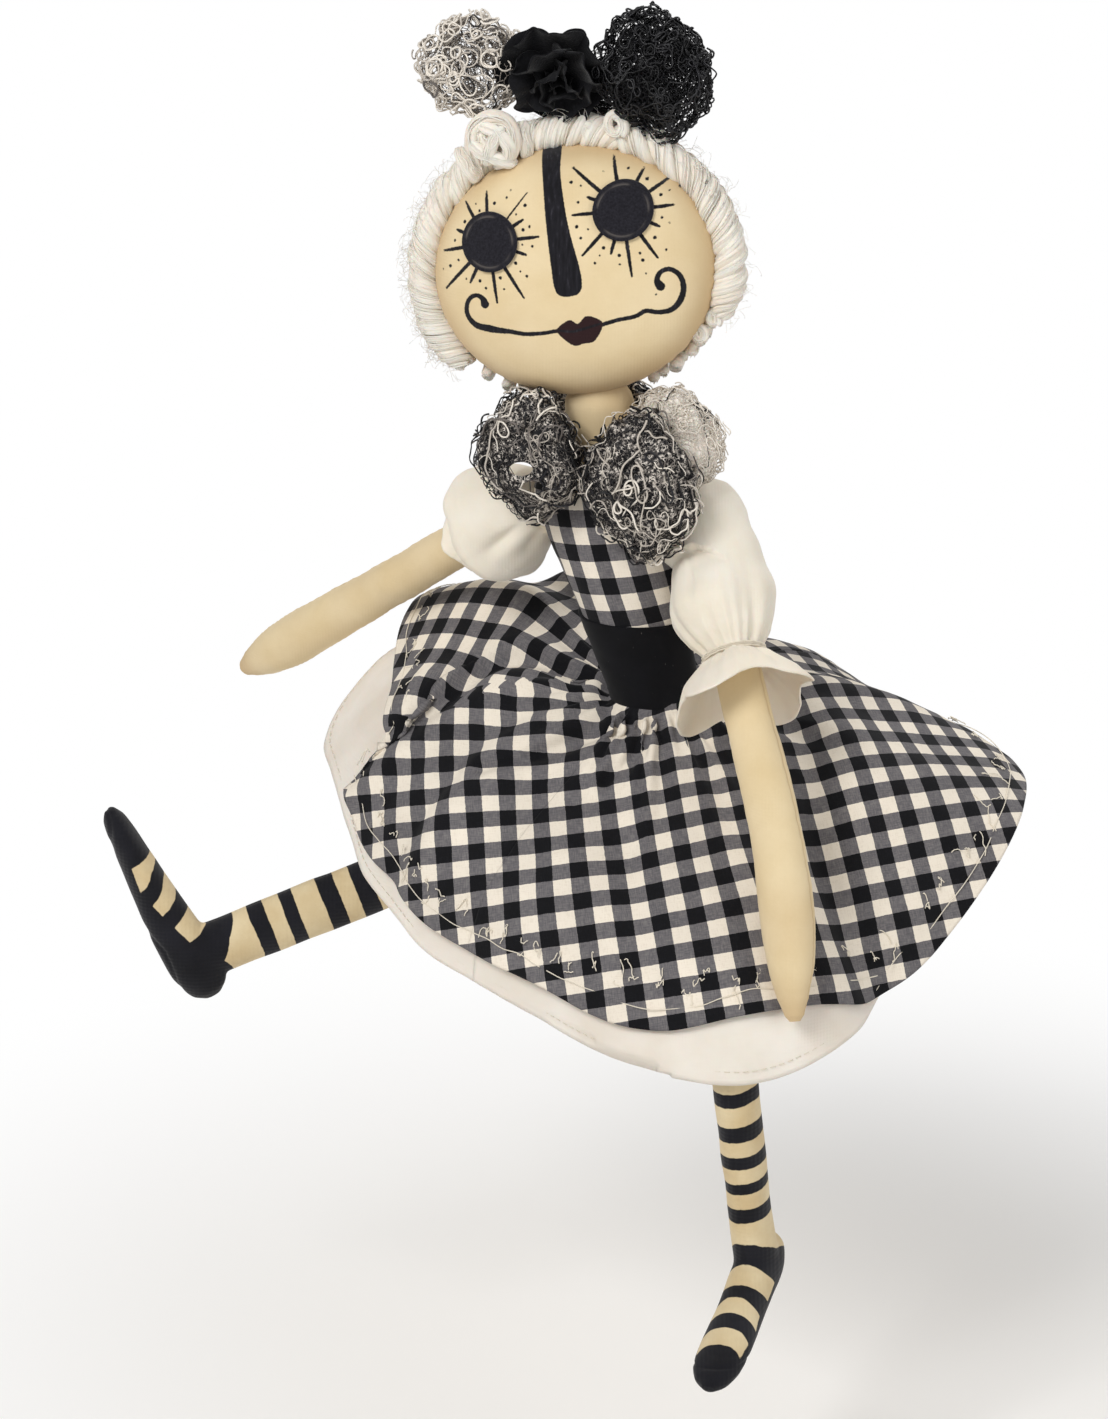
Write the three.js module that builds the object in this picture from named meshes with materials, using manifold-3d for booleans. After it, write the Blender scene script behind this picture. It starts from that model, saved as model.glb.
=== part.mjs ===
// A stuffed art doll: muslin body, painted pillow face, wool hair, lace ornaments,
// a gingham dress with black waistband and white puff sleeves, a petticoat, striped legs.
// It sits with its left knee bent down and its right leg stretched out to the side.
// Millimetres, +Z up, -Y towards the viewer. The origin is the middle of the flat it sits on.
// Left and right are the doll's own.

import * as THREE from 'three';
import { mergeVertices } from 'three/addons/utils/BufferGeometryUtils.js';
import Module from 'manifold-3d';

const wasm = await Module();
wasm.setup();

// Driving dimensions

const GAP = 0.3;                   // between pieces that touch
const CLOTH = 0.9;                 // thickness of one layer of dress cotton
const BAND_CLOTH = 1.6;            // the waistband is two layers and a hem
const LAYER_LIFT = 1.3;            // the gingham skirt lies this far above the petticoat at the waist
const PETTICOAT_DROP = 0.62;        // petticoat below the drape's own surface
const SKIRT_LIFT = 2.5;            // and this far lower down
const BODY_YAW = 22;               // degrees that the body is turned to its right
const HEAD_YAW = 10;
const HEAD_NOD = 6;                // the face looks up a little
const HEAD_TILT = 9;
const HEAD_HALF_WIDTH = 52.5;
const HEAD_HALF_HEIGHT = 46;
const HEAD_HALF_DEPTH = 26;
const HEAD_RISE = 51;              // head centre above the neck's turning point
const HEAD_SHIFT = -8.4;           // and to the doll's right of it
const NECK_BALL = 13;
const NECK_TILT_RANGE = 8;         // degrees each way
const EYE_DIAMETER = 21.5;
const FELT = 1.2;
const HAIR_ROLL_RADIUS = 6.8;
const HAIR_CAP = 4.5;              // thickness of the wool over the back of the head
const ARM_BALL = 9.5;
const ARM_LENGTH = 196;            // shoulder seam to mitten tip
const THIGH_LENGTH = 78;           // hip seam to knee
const SHIN_LENGTH = 98;            // knee to ankle
const FOOT_LENGTH = 84;
const HEEL_BACK = 17.5;            // the heel stands out this far behind the ankle
const HIP_BALL = 11;
const KNEE_BALL = 8.8;
const FOOT_HALF_WIDTH = 9.6;
const FOOT_HALF_HEIGHT = 8.8;
const HIP_SPACING = 40;
const HIP_REACH = 20;              // the legs are sewn on this far out from there, on the rump's skin
const HIP_HEIGHT = 22;
const WAIST_HEIGHT = 99;
const BAND_HEIGHT = 34;
const BODICE_TOP = 183;
const WAIST_RADIUS = 18.6;         // where skirt and petticoat are gathered
// Each sleeve: shoulder to gathering thread, radius of the puff, how far above the thread it is widest, frill.
// The right sleeve has slid up the arm and bags over its thread.
const SLEEVE_LEFT = { length: 58, puff: 20, bag: 20, frill: 17.5, frillRadius: 26, flare: 0 };
const SLEEVE_RIGHT = { length: 28.5, puff: 23.5, bag: 10, frill: 8, frillRadius: 13, flare: 1 };
const TIE_RADIUS = 0.7;            // gathering thread, several turns together

// Shape helpers

const rad = THREE.MathUtils.degToRad;
const vec = (x, y, z) => new THREE.Vector3(x, y, z);
const clamp01 = (a) => Math.min(1, Math.max(0, a));
const smooth = (a) => clamp01(a) ** 2 * (3 - 2 * clamp01(a));
const mix = (a, b, t) => a + (b - a) * t;
const wrapDegrees = (a) => ((((a + 180) % 360) + 360) % 360) - 180;

const bodyFront = vec(-Math.sin(rad(BODY_YAW)), -Math.cos(rad(BODY_YAW)), 0);
const bodyLeft = vec(Math.cos(rad(BODY_YAW)), -Math.sin(rad(BODY_YAW)), 0);
const up = vec(0, 0, 1);

// A point at distances along two axes from a centre.
function offset(centre, axisA, a, axisB, b) {
  return centre.clone().addScaledVector(axisA, a).addScaledVector(axisB, b);
}

// An elliptical ring of points.
function ellipse(centre, axisA, a, axisB, b, sides) {
  return Array.from({ length: sides }, (_, i) => {
    const angle = (2 * Math.PI * i) / sides;
    return offset(centre, axisA, a * Math.cos(angle), axisB, b * Math.sin(angle));
  });
}

// A geometry whose faces are turned outwards.
function solid(points, faces) {
  let volume = 0;
  for (const [a, b, c] of faces) volume += points[a].dot(points[b].clone().cross(points[c]));
  const turned = volume < 0 ? faces.map(([a, b, c]) => [a, c, b]) : faces;
  const geometry = new THREE.BufferGeometry();
  geometry.setAttribute('position', new THREE.Float32BufferAttribute(points.flatMap((p) => p.toArray()), 3));
  geometry.setIndex(turned.flat());
  geometry.computeVertexNormals();
  return geometry;
}

// Skin over a row of rings, closed by a point at each end, or joined end to end.
function loft(rings, looped = false) {
  const sides = rings[0].length;
  const points = rings.flat();
  const faces = [];
  const rows = looped ? rings.length : rings.length - 1;
  for (let i = 0; i < rows; i += 1) {
    const here = i * sides;
    const next = ((i + 1) % rings.length) * sides;
    for (let j = 0; j < sides; j += 1) {
      const k = (j + 1) % sides;
      faces.push([here + j, next + j, next + k], [here + j, next + k, here + k]);
    }
  }
  if (!looped) {
    for (const [start, flip] of [[0, true], [(rings.length - 1) * sides, false]]) {
      const ring = points.slice(start, start + sides);
      const middle = ring.reduce((sum, p) => sum.add(p), vec(0, 0, 0)).divideScalar(sides);
      const hub = points.push(middle) - 1;
      for (let j = 0; j < sides; j += 1) {
        const k = (j + 1) % sides;
        faces.push(flip ? [hub, start + j, start + k] : [hub, start + k, start + j]);
      }
    }
  }
  return solid(points, faces);
}

// A cloth panel of even thickness below the surface at(u, v), both from 0 to 1.
function sheet(at, columns, rows, thickness) {
  const step = 1e-3;
  const top = [];
  const under = [];
  for (let i = 0; i <= columns; i += 1) {
    for (let j = 0; j <= rows; j += 1) {
      const u = i / columns;
      const v = j / rows;
      const alongU = at(u + step, v).sub(at(u - step, v));
      const alongV = at(u, Math.min(1, v + step)).sub(at(u, Math.max(0, v - step)));
      const normal = alongV.cross(alongU).normalize();
      if (normal.z < 0) normal.negate();
      top.push(at(u, v));
      under.push(at(u, v).addScaledVector(normal, -thickness));
    }
  }
  const points = [...top, ...under];
  const shift = top.length;
  const index = (i, j) => i * (rows + 1) + j;
  const faces = [];
  const quad = (a, b, c, d) => faces.push([a, b, c], [a, c, d]);
  for (let i = 0; i < columns; i += 1) {
    for (let j = 0; j < rows; j += 1) {
      const [a, b, c, d] = [index(i, j), index(i + 1, j), index(i + 1, j + 1), index(i, j + 1)];
      quad(a, b, c, d);
      quad(d + shift, c + shift, b + shift, a + shift);
    }
    quad(index(i, 0), index(i, 0) + shift, index(i + 1, 0) + shift, index(i + 1, 0));
    quad(index(i, rows), index(i + 1, rows), index(i + 1, rows) + shift, index(i, rows) + shift);
  }
  for (let j = 0; j < rows; j += 1) {
    quad(index(0, j), index(0, j + 1), index(0, j + 1) + shift, index(0, j) + shift);
    quad(index(columns, j), index(columns, j) + shift, index(columns, j + 1) + shift, index(columns, j + 1));
  }
  return solid(points, faces);
}

// A stuffed limb along a curve. profile(t) gives half width and half depth; front sets which way depth is.
function limb(curve, profile, front, sides, steps) {
  const rings = [];
  for (let i = 0; i <= steps; i += 1) {
    const t = (1 - Math.cos((Math.PI * i) / steps)) / 2;
    const along = curve.getTangentAt(t);
    const depth = front.clone().addScaledVector(along, -front.dot(along)).normalize();
    const width = along.clone().cross(depth);
    const [a, b] = profile(t);
    rings.push(ellipse(curve.getPointAt(t), width, a, depth, b, sides));
  }
  return loft(rings);
}

const spline = (points) => new THREE.CatmullRomCurve3(points, false, 'centripetal');

// Values read between the rows [t, a, b, ...] of a short table, smoothly.
function between(rows, t) {
  const last = rows.length - 1;
  if (t <= rows[0][0]) return rows[0].slice(1);
  if (t >= rows[last][0]) return rows[last].slice(1);
  const i = rows.findIndex((row) => row[0] > t) - 1;
  const at = (t - rows[i][0]) / (rows[i + 1][0] - rows[i][0]);
  const ends = [rows[Math.max(0, i - 1)], rows[i], rows[i + 1], rows[Math.min(last, i + 2)]];
  return ends[0].slice(1).map((_, column) => {
    const [p, q, r, s] = ends.map((row) => row[column + 1]);
    return q + 0.5 * at * (r - p + at * (2 * p - 5 * q + 4 * r - s + at * (3 * (q - r) + s - p)));
  });
}

// A rounded lump, wavy like gathered lace. Grown sideways by extra where it is used to cut a neighbour.
function puff({ centre, axes, size, waves = 5, depth = 0.1, sides = 14, rows = 7 }, extra = 0) {
  const rings = [];
  for (let i = 0; i < rows; i += 1) {
    const lat = Math.PI * (0.04 + (0.92 * i) / (rows - 1) - 0.5);
    rings.push(Array.from({ length: sides }, (_, j) => {
      const lon = (2 * Math.PI * j) / sides;
      const swell = 1 + depth * Math.sin(waves * lon + 2.1 * i) * Math.cos(lat);
      const [a, b, c] = size.map((half) => half * swell + extra);
      return offset(centre, axes[0], a * Math.cos(lat) * Math.cos(lon), axes[1], b * Math.cos(lat) * Math.sin(lon))
        .addScaledVector(axes[2], c * Math.sin(lat));
    }));
  }
  return loft(rings);
}

function ball(centre, radius, sides = 18) {
  const geometry = new THREE.SphereGeometry(radius, sides, sides / 2);
  geometry.translate(centre.x, centre.y, centre.z);
  return geometry;
}

// Joins and cuts

const MERGE = 1e-3;                // corners closer than this are one
const SLIVER = 0.03;               // edges shorter than this are tidied away after a cut

function toManifold(geometry) {
  const bare = geometry.clone();
  bare.deleteAttribute('normal');
  bare.deleteAttribute('uv');
  const merged = mergeVertices(bare, MERGE);
  return new wasm.Manifold(new wasm.Mesh({
    numProp: 3,
    vertProperties: new Float32Array(merged.attributes.position.array),
    triVerts: new Uint32Array(merged.index.array),
  }));
}

function fromManifold(body) {
  const mesh = body.getMesh();
  const geometry = new THREE.BufferGeometry();
  geometry.setAttribute('position', new THREE.Float32BufferAttribute(mesh.vertProperties, 3));
  geometry.setIndex(Array.from(mesh.triVerts));
  geometry.computeVertexNormals();
  return geometry;
}

const largest = (body) => body.decompose().sort((a, b) => b.volume() - a.volume())[0];

// The largest piece of a solid after others are cut from it.
function cut(geometry, tools) {
  let body = toManifold(geometry);
  for (const tool of tools) body = body.subtract(toManifold(tool));
  const tidy = fromManifold(largest(body).simplify(SLIVER));
  return fromManifold(largest(toManifold(tidy)));
}

const join = (first, second) => fromManifold(toManifold(first).add(toManifold(second)));

// A copy turned by some degrees about an axis through a point.
function turned(geometry, pivot, axis, degrees) {
  const copy = geometry.clone();
  copy.translate(-pivot.x, -pivot.y, -pivot.z);
  copy.applyQuaternion(new THREE.Quaternion().setFromAxisAngle(axis.clone().normalize(), rad(degrees)));
  copy.translate(pivot.x, pivot.y, pivot.z);
  return copy;
}

const swept = (geometry, pivot, axis, angles) => angles.map((angle) => turned(geometry, pivot, axis, angle));

// The room that a limb needs as it turns about a pivot: a round-cornered sector, half thick each side.
function sweepRoom(pivot, axis, direction, from, to, radius, half, reach) {
  const outline = new THREE.Shape();
  const start = rad(from);
  const end = rad(to);
  const backSteps = 9;
  const frontSteps = 6;
  for (let i = 0; i <= backSteps; i += 1) {
    const angle = mix(end + Math.PI / 2, start + 1.5 * Math.PI, i / backSteps);
    const point = [radius * Math.cos(angle), radius * Math.sin(angle)];
    if (i === 0) outline.moveTo(...point);
    else outline.lineTo(...point);
  }
  const spread = Math.atan2(radius, reach);
  for (let i = 0; i <= frontSteps; i += 1) {
    const angle = mix(start - spread, end + spread, i / frontSteps);
    outline.lineTo(Math.hypot(reach, radius) * Math.cos(angle), Math.hypot(reach, radius) * Math.sin(angle));
  }
  const slab = new THREE.ExtrudeGeometry(outline, { depth: 2 * half, bevelEnabled: false });
  slab.translate(0, 0, -half);
  const z = axis.clone().normalize();
  const x = direction.clone().addScaledVector(z, -direction.dot(z)).normalize();
  slab.applyMatrix4(new THREE.Matrix4().makeBasis(x, z.clone().cross(x), z).setPosition(pivot));
  return slab;
}

// Torso, bodice and waistband
// Each row: height, how far the spine leans to the right and forward there, half width, half depth.

const SPINE = [
  [0, 0, 0, 26, 21],
  [5, -1.2, 0, 33, 27],
  [18, -4.5, -0.5, 38.5, 32],
  [40, -11, -1.5, 38, 31],
  [62, -18, -3, 29, 25],
  [82, -25.5, -4, 20.5, 19],
  [WAIST_HEIGHT, -31.5, -5, 16.4, 15.8],
  [116, -36.5, -5, 17, 16],
  [134, -41, -5, 19.4, 17],
  [152, -44.5, -4, 23.5, 18.5],
  [168, -47.5, -3, 28, 18],
  [180, -49.5, -3, 29, 15.5],
  [189, -51, -2.5, 20, 13],
  [197, -52.2, -2.5, 13.2, 12],
  [213, -54, -2.5, NECK_BALL, 12],
];
const neckPivot = vec(-54, -2.5, 213);
const TORSO_SIDES = 18;

function torsoRing(height, extra) {
  const above = Math.max(1, SPINE.findIndex((row) => row[0] >= height));
  const [low, high] = [SPINE[above - 1], SPINE[above]];
  const share = (height - low[0]) / (high[0] - low[0]);
  const [x, y, a, b] = low.slice(1).map((value, i) => mix(value, high[i + 1], share));
  return ellipse(vec(x, y, height), bodyLeft, a + extra, bodyFront, b + extra, TORSO_SIDES);
}

function torsoBody(extra = 0) {
  const rings = SPINE.map((row) => torsoRing(row[0], extra));
  const [x, y, a, b] = SPINE[SPINE.length - 1].slice(1);
  for (const angle of [25, 50, 76]) {
    const centre = vec(x, y, neckPivot.z + (NECK_BALL - 1 + extra) * Math.sin(rad(angle)));
    const shrink = Math.cos(rad(angle));
    rings.push(ellipse(centre, bodyLeft, (a + extra) * shrink, bodyFront, (b + extra) * shrink, TORSO_SIDES));
  }
  return loft(rings);
}

// The torso between two heights, grown by extra all round.
function torsoSlice(low, high, extra) {
  const between = SPINE.map((row) => row[0]).filter((height) => height > low && height < high);
  return loft([low, ...between, high].map((height) => torsoRing(height, extra)));
}

// Limbs

const aim = (azimuth, elevation) => vec(
  -Math.sin(rad(azimuth)) * Math.cos(rad(elevation)),
  -Math.cos(rad(azimuth)) * Math.cos(rad(elevation)),
  Math.sin(rad(elevation)),
);
const along = (from, direction, length) => from.clone().addScaledVector(direction, length);

// Half thickness along the arm, from the round top to the blunt mitten tip.
const ARM_SHAPE = [
  [0, 0.32], [0.02, 0.75], [0.05, 1], [0.25, 0.92], [0.5, 0.95], [0.7, 1.02], [0.82, 1.06],
  [0.9, 0.9], [0.96, 0.6], [0.99, 0.38], [1, 0.22],
];

function arm(points, extra = 0) {
  const profile = (t) => {
    const [scale] = between(ARM_SHAPE, t);
    return [ARM_BALL * scale + extra, ARM_BALL * 0.94 * scale + extra];
  };
  return limb(spline(points), profile, bodyFront, 10, 13);
}

const shoulderLeft = vec(-15.6, -8, 172.5);
const shoulderRight = vec(-82, 13, 169.5);
const ARM_BENDS_LEFT = [[-16, -47.6, 0.326], [-17.5, -49.7, 0.702], [-15, -70, 1]];
const armLeftAim = aim(-16, -47.6);
const armRightAim = aim(136, -32);

// The left arm droops over the lap: each bend is [azimuth, elevation, share of the length].
function leftArmPoints() {
  const points = [along(shoulderLeft, armLeftAim, -ARM_BALL), shoulderLeft];
  let share = 0;
  for (const [azimuth, elevation, until] of ARM_BENDS_LEFT) {
    const length = ARM_LENGTH * (until - share);
    points.push(along(points[points.length - 1], aim(azimuth, elevation), length));
    share = until;
  }
  return points;
}

const rightArmPoints = () => [-ARM_BALL, 0, ARM_LENGTH / 2, ARM_LENGTH]
  .map((distance) => along(shoulderRight, armRightAim, distance));

const armLeftPoints = leftArmPoints();
const armRightPoints = rightArmPoints();

const thighLeftAim = aim(15.8, -7);
const thighRightAim = aim(86, 6);
const hip = (side, direction) => offset(vec(0, 0, HIP_HEIGHT), bodyLeft, (side * HIP_SPACING) / 2, direction, HIP_REACH);
const hipLeft = hip(1, thighLeftAim);
const hipRight = hip(-1, thighRightAim);
const kneeLeft = along(hipLeft, thighLeftAim, THIGH_LENGTH);
const kneeRight = along(hipRight, thighRightAim, THIGH_LENGTH);
const shinLeftAim = aim(-82, -83);
const shinRightAim = aim(79, -18.8);
const footLeftAim = aim(18, -16);
const footRightAim = aim(93, 63);

function thigh(seam, direction, front) {
  const points = [along(seam, direction, -HIP_BALL), seam, along(seam, direction, THIGH_LENGTH + KNEE_BALL)];
  const shape = [
    [0, 3.5, 3.5], [0.03, 8.4, 8.2], [0.09, HIP_BALL, 10.5], [0.4, 11, 10.4], [0.75, 9.4, 9.4],
    [0.93, 8.6, 8.8], [0.98, 6, 6.2], [1, 3, 3],
  ];
  return limb(spline(points), (t) => between(shape, t), front, 10, 9);
}

function shin(knee, direction, toe) {
  const front = toe.clone().addScaledVector(direction, -toe.dot(direction)).normalize();
  const total = KNEE_BALL + SHIN_LENGTH + FOOT_HALF_HEIGHT;
  const shape = [
    [0, 2.8, 2.8], [0.03, 6.6, 6.8], [0.085, KNEE_BALL - 0.6, KNEE_BALL], [0.3, 8.1, 10.6],
    [0.6, 7.7, 10.8], [0.8, 7.7, 10.6], [0.92, 8.2, 10.4], [0.98, 7, 8.4], [1, 4, 5],
  ];
  const leg = limb(
    spline([along(knee, direction, -KNEE_BALL), knee, along(knee, direction, total - KNEE_BALL)]),
    (t) => between(shape, t), front, 10, 10,
  );
  const ankle = along(knee, direction, SHIN_LENGTH);
  const heel = along(ankle, toe, -HEEL_BACK).addScaledVector(direction, 2);
  const sole = [
    [0, 3, 3.5], [0.04, 6.6, 7.6], [0.14, 8.6, 10.4], [0.3, 8.8, 10], [0.45, 8.8, FOOT_HALF_HEIGHT],
    [0.7, FOOT_HALF_WIDTH, 6.8], [0.86, 9.2, 5.6], [0.95, 6.4, 4.2], [1, 2.6, 2],
  ];
  const instep = along(heel, toe, FOOT_LENGTH / 2).addScaledVector(direction, 1);
  const foot = limb(spline([heel, instep, along(heel, toe, FOOT_LENGTH)]), (t) => between(sole, t), direction, 10, 12);
  return join(leg, foot);
}

// Head

const headTurn = new THREE.Matrix4()
  .makeRotationZ(rad(-HEAD_YAW))
  .multiply(new THREE.Matrix4().makeRotationX(rad(-HEAD_NOD)))
  .multiply(new THREE.Matrix4().makeRotationY(rad(-HEAD_TILT)));
const headRight = vec(1, 0, 0).transformDirection(headTurn);
const headFront = vec(0, -1, 0).transformDirection(headTurn);
const headUp = vec(0, 0, 1).transformDirection(headTurn);
const headCentre = vec(neckPivot.x + HEAD_SHIFT, 0, neckPivot.z + HEAD_RISE);
const PILLOW = 2.3;                // how square the pillow's rim is, 2 being an ellipsoid

// A point of the pillow: angle round the face, latitude from the front (90) to the back (-90).
function pillowPoint(angle, latitude, extra) {
  const power = 2 / PILLOW;
  const sine = Math.sin(rad(latitude));
  const reach = Math.max(0, Math.cos(rad(latitude))) ** power;
  const depth = Math.sign(sine) * Math.abs(sine) ** power;
  return offset(
    headCentre,
    headRight, (HEAD_HALF_WIDTH + extra) * Math.cos(angle) * reach,
    headUp, (HEAD_HALF_HEIGHT + extra) * Math.sin(angle) * reach,
  ).addScaledVector(headFront, (HEAD_HALF_DEPTH + extra) * depth);
}

const PILLOW_SIDES = 22;
const LATITUDES = [10, 24, 40, 60, 80];

const pillowRing = (latitude, extra) => Array.from(
  { length: PILLOW_SIDES },
  (_, i) => pillowPoint((2 * Math.PI * i) / PILLOW_SIDES, latitude, extra),
);

function headBody(extra = 0) {
  const latitudes = [...LATITUDES.map((latitude) => -latitude).reverse(), 0, ...LATITUDES];
  return loft(latitudes.map((latitude) => pillowRing(latitude, extra)));
}

// How far the face stands out at a place across and up from the head's centre.
function faceDepth(across, rise) {
  const share = Math.hypot(across / HEAD_HALF_WIDTH, rise / HEAD_HALF_HEIGHT);
  return HEAD_HALF_DEPTH * (1 - Math.min(1, share) ** PILLOW) ** (1 / PILLOW);
}

// A felt disc that follows the face.
function eyeDisc(across, rise) {
  const sides = 16;
  const rows = [0.05, 0.55, 1].map((share) => (EYE_DIAMETER / 2) * share);
  const face = (radius, i, lift) => {
    const angle = (2 * Math.PI * i) / sides;
    const x = across + radius * Math.cos(angle);
    const y = rise + radius * Math.sin(angle);
    return offset(headCentre, headRight, x, headUp, y).addScaledVector(headFront, faceDepth(x, y) + lift);
  };
  const ring = (radius, lift) => Array.from({ length: sides }, (_, i) => face(radius, i, lift));
  return loft([
    ...rows.map((radius) => ring(radius, GAP + FELT)),
    ...rows.reverse().map((radius) => ring(radius, GAP)),
  ]);
}

// Hair: a wound roll round the face, a cap over the back, a knot of curls at the top

const HAIR_START = -34;            // degrees round the face, from its left cheek
const HAIR_END = 217;              // to its right cheek

function hairRoll(extra = 0) {
  const steps = 32;
  const sides = 7;
  const rings = [];
  for (let i = 0; i <= steps; i += 1) {
    const angle = rad(mix(HAIR_START, HAIR_END, i / steps));
    const outward = headRight.clone().multiplyScalar(Math.cos(angle)).addScaledVector(headUp, Math.sin(angle));
    const centre = offset(
      headCentre,
      headRight, (HEAD_HALF_WIDTH + 4.2) * Math.cos(angle),
      headUp, (HEAD_HALF_HEIGHT + 4.2) * Math.sin(angle),
    ).addScaledVector(headFront, 2.5);
    const taper = Math.min(1, 0.5 + 4 * Math.min(i, steps - i) / steps);
    const wound = 1 + 0.05 * Math.cos((2 * Math.PI * i) / 2);
    const radius = HAIR_ROLL_RADIUS * taper * wound + extra;
    rings.push(ellipse(centre, outward, radius, headFront, radius, sides));
  }
  return loft(rings);
}

function hairCap(extra = 0) {
  return loft([
    ...LATITUDES.map((latitude) => pillowRing(-latitude, GAP - extra)).reverse(),
    ...LATITUDES.map((latitude) => pillowRing(-latitude, HAIR_CAP + extra)),
  ]);
}

const headAxes = [headRight, headUp, headFront];
const onHead = (across, rise, forward) => offset(headCentre, headRight, across, headUp, rise)
  .addScaledVector(headFront, forward);

const TOPKNOT = { centre: onHead(-22, 51, 9), axes: headAxes, size: [11, 8, 8], waves: 3, sides: 10, rows: 6 };
const FLOWER = { centre: onHead(1, 74, 12), axes: headAxes, size: [21, 17.5, 10], waves: 6, depth: 0.13, sides: 16 };
const LACE_WHITE = { centre: onHead(-27, 78, 2), axes: headAxes, size: [21, 20.5, 14], depth: 0.1 };
const LACE_BLACK = { centre: onHead(38, 67, 3), axes: headAxes, size: [22, 23.5, 15], depth: 0.1 };
const TULLE = { centre: onHead(20, 60, -12), axes: headAxes, size: [26, 10, 7], waves: 4, sides: 12, rows: 6 };

// Lace collar, gathered into two lobes on the chest, with a white and a black piece round the neck

const collarAxes = [bodyLeft, up, bodyFront];
const COLLAR_RIGHT = { centre: vec(-79, -16, 198), axes: collarAxes, size: [21, 25, 15], depth: 0.09 };
const COLLAR_LEFT = { centre: vec(-39, -30, 190.5), axes: collarAxes, size: [23, 29, 12], depth: 0.09 };
const COLLAR_WHITE = { centre: vec(-27, -17, 204), axes: collarAxes, size: [20, 21, 12], depth: 0.1 };
const COLLAR_BACK = { centre: vec(-48, 16, 206), axes: collarAxes, size: [26, 13, 11], depth: 0.1 };

// Puff sleeves: a closed cloth sheet gathered on the arm by a thread, and a frill below it

function sleeve(points, { length: cuff, puff: full, bag, frill, frillRadius, flare }) {
  const curve = spline(points);
  const length = curve.getLength();
  const sides = 16;
  const start = ARM_BALL - 14;
  const gather = ARM_BALL + cuff;
  const snug = ARM_BALL + GAP + CLOTH + 0.6;
  const rows = [
    [start, 6], [start + 6, 12.5], [start + 15, 16.5], [gather - 1.6 * bag, full - 2],
    [gather - bag, full], [gather - 0.4 * bag, full - 4],
    [gather, snug], [gather + 0.16 * frill, mix(snug, frillRadius, 0.25)],
    [gather + 0.55 * frill, mix(ARM_BALL, frillRadius, 0.72)], [gather + frill, frillRadius],
  ];
  const ring = ([distance, radius], inset) => {
    const at = Math.max(0, distance) / length;
    const centre = curve.getPointAt(at);
    const tangent = curve.getTangentAt(at);
    if (distance < 0) centre.addScaledVector(tangent, distance);
    const depth = bodyFront.clone().addScaledVector(tangent, -bodyFront.dot(tangent)).normalize();
    const width = tangent.clone().cross(depth);
    const open = smooth((distance - gather - 2) / frill);
    return Array.from({ length: sides }, (_, i) => {
      const angle = (2 * Math.PI * i) / sides;
      const wave = open * Math.cos(4 * angle + flare) * Math.min(1, frill / 19);
      const r = radius * (1 + 0.13 * wave) - inset;
      return offset(centre, width, r * Math.cos(angle), depth, r * Math.sin(angle))
        .addScaledVector(tangent, 3.2 * wave);
    });
  };
  return loft([
    ...rows.map((row) => ring(row, 0)),
    ...rows.reverse().map((row) => ring(row, CLOTH)),
  ]);
}

function sleeveTie(points, cuff) {
  const curve = spline(points);
  const at = (ARM_BALL + cuff) / curve.getLength();
  const ring = new THREE.TorusGeometry(ARM_BALL + GAP + CLOTH + 0.6 + GAP + TIE_RADIUS + 0.7, TIE_RADIUS, 5, 18);
  const turn = new THREE.Quaternion().setFromUnitVectors(up, curve.getTangentAt(at));
  ring.applyQuaternion(turn);
  const centre = curve.getPointAt(at);
  ring.translate(centre.x, centre.y, centre.z);
  return ring;
}

// Skirt and petticoat, one drape
// Azimuth is measured round the waist from the viewer's side, positive to the doll's right.
// Each row: azimuth, reach and height of the petticoat's hem, how far the cloth bells out
// above the straight line from waist to hem, the gingham skirt's share of that length,
// and how low the bell sits, 1 being halfway and 3 near the hem, as where the cloth breaks over a knee.

const DRAPE = [
  [-158, 116, 66, 15, 0.9, 1],
  [-135, 118, 64, 14, 0.94, 1],
  [-112, 124, 66, 12, 1, 1],
  [-96, 132, 64, 6, 1.05, 1],
  [-84, 130, 60, 4, 1.06, 1],
  [-70, 122, 46, 6, 1.07, 1.2],
  [-58, 113, 28, 9, 1.07, 1.5],
  [-44, 112, 7, 12, 0.985, 1.7],
  [-29, 118, -3, 13.5, 0.88, 1.7],
  [-15, 117, -9, 14.5, 0.85, 2],
  [1, 107, -7, 14, 0.91, 2.6],
  [13, 101, -3, 13, 0.92, 2.8],
  [28, 95, 4, 12, 0.92, 2.8],
  [46, 93, 10, 12, 0.93, 2.3],
  [62, 99, 16, 14, 0.93, 1.6],
  [76, 105, 25, 16.5, 0.93, 1.2],
  [86, 113, 33, 18, 0.945, 1.1],
  [94, 118, 41, 20, 0.945, 1],
  [102, 125, 49, 20, 0.92, 1],
  [109, 134, 56, 20, 0.83, 1],
  [117, 146, 60, 22, 0.755, 1],
  [125, 150, 71, 22, 0.76, 1],
  [134, 148, 84, 22, 0.8, 1],
  [146, 142, 88, 20, 0.84, 1],
  [160, 126, 80, 18, 0.88, 1],
  [180, 118, 70, 16, 0.88, 1],
];

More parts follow.
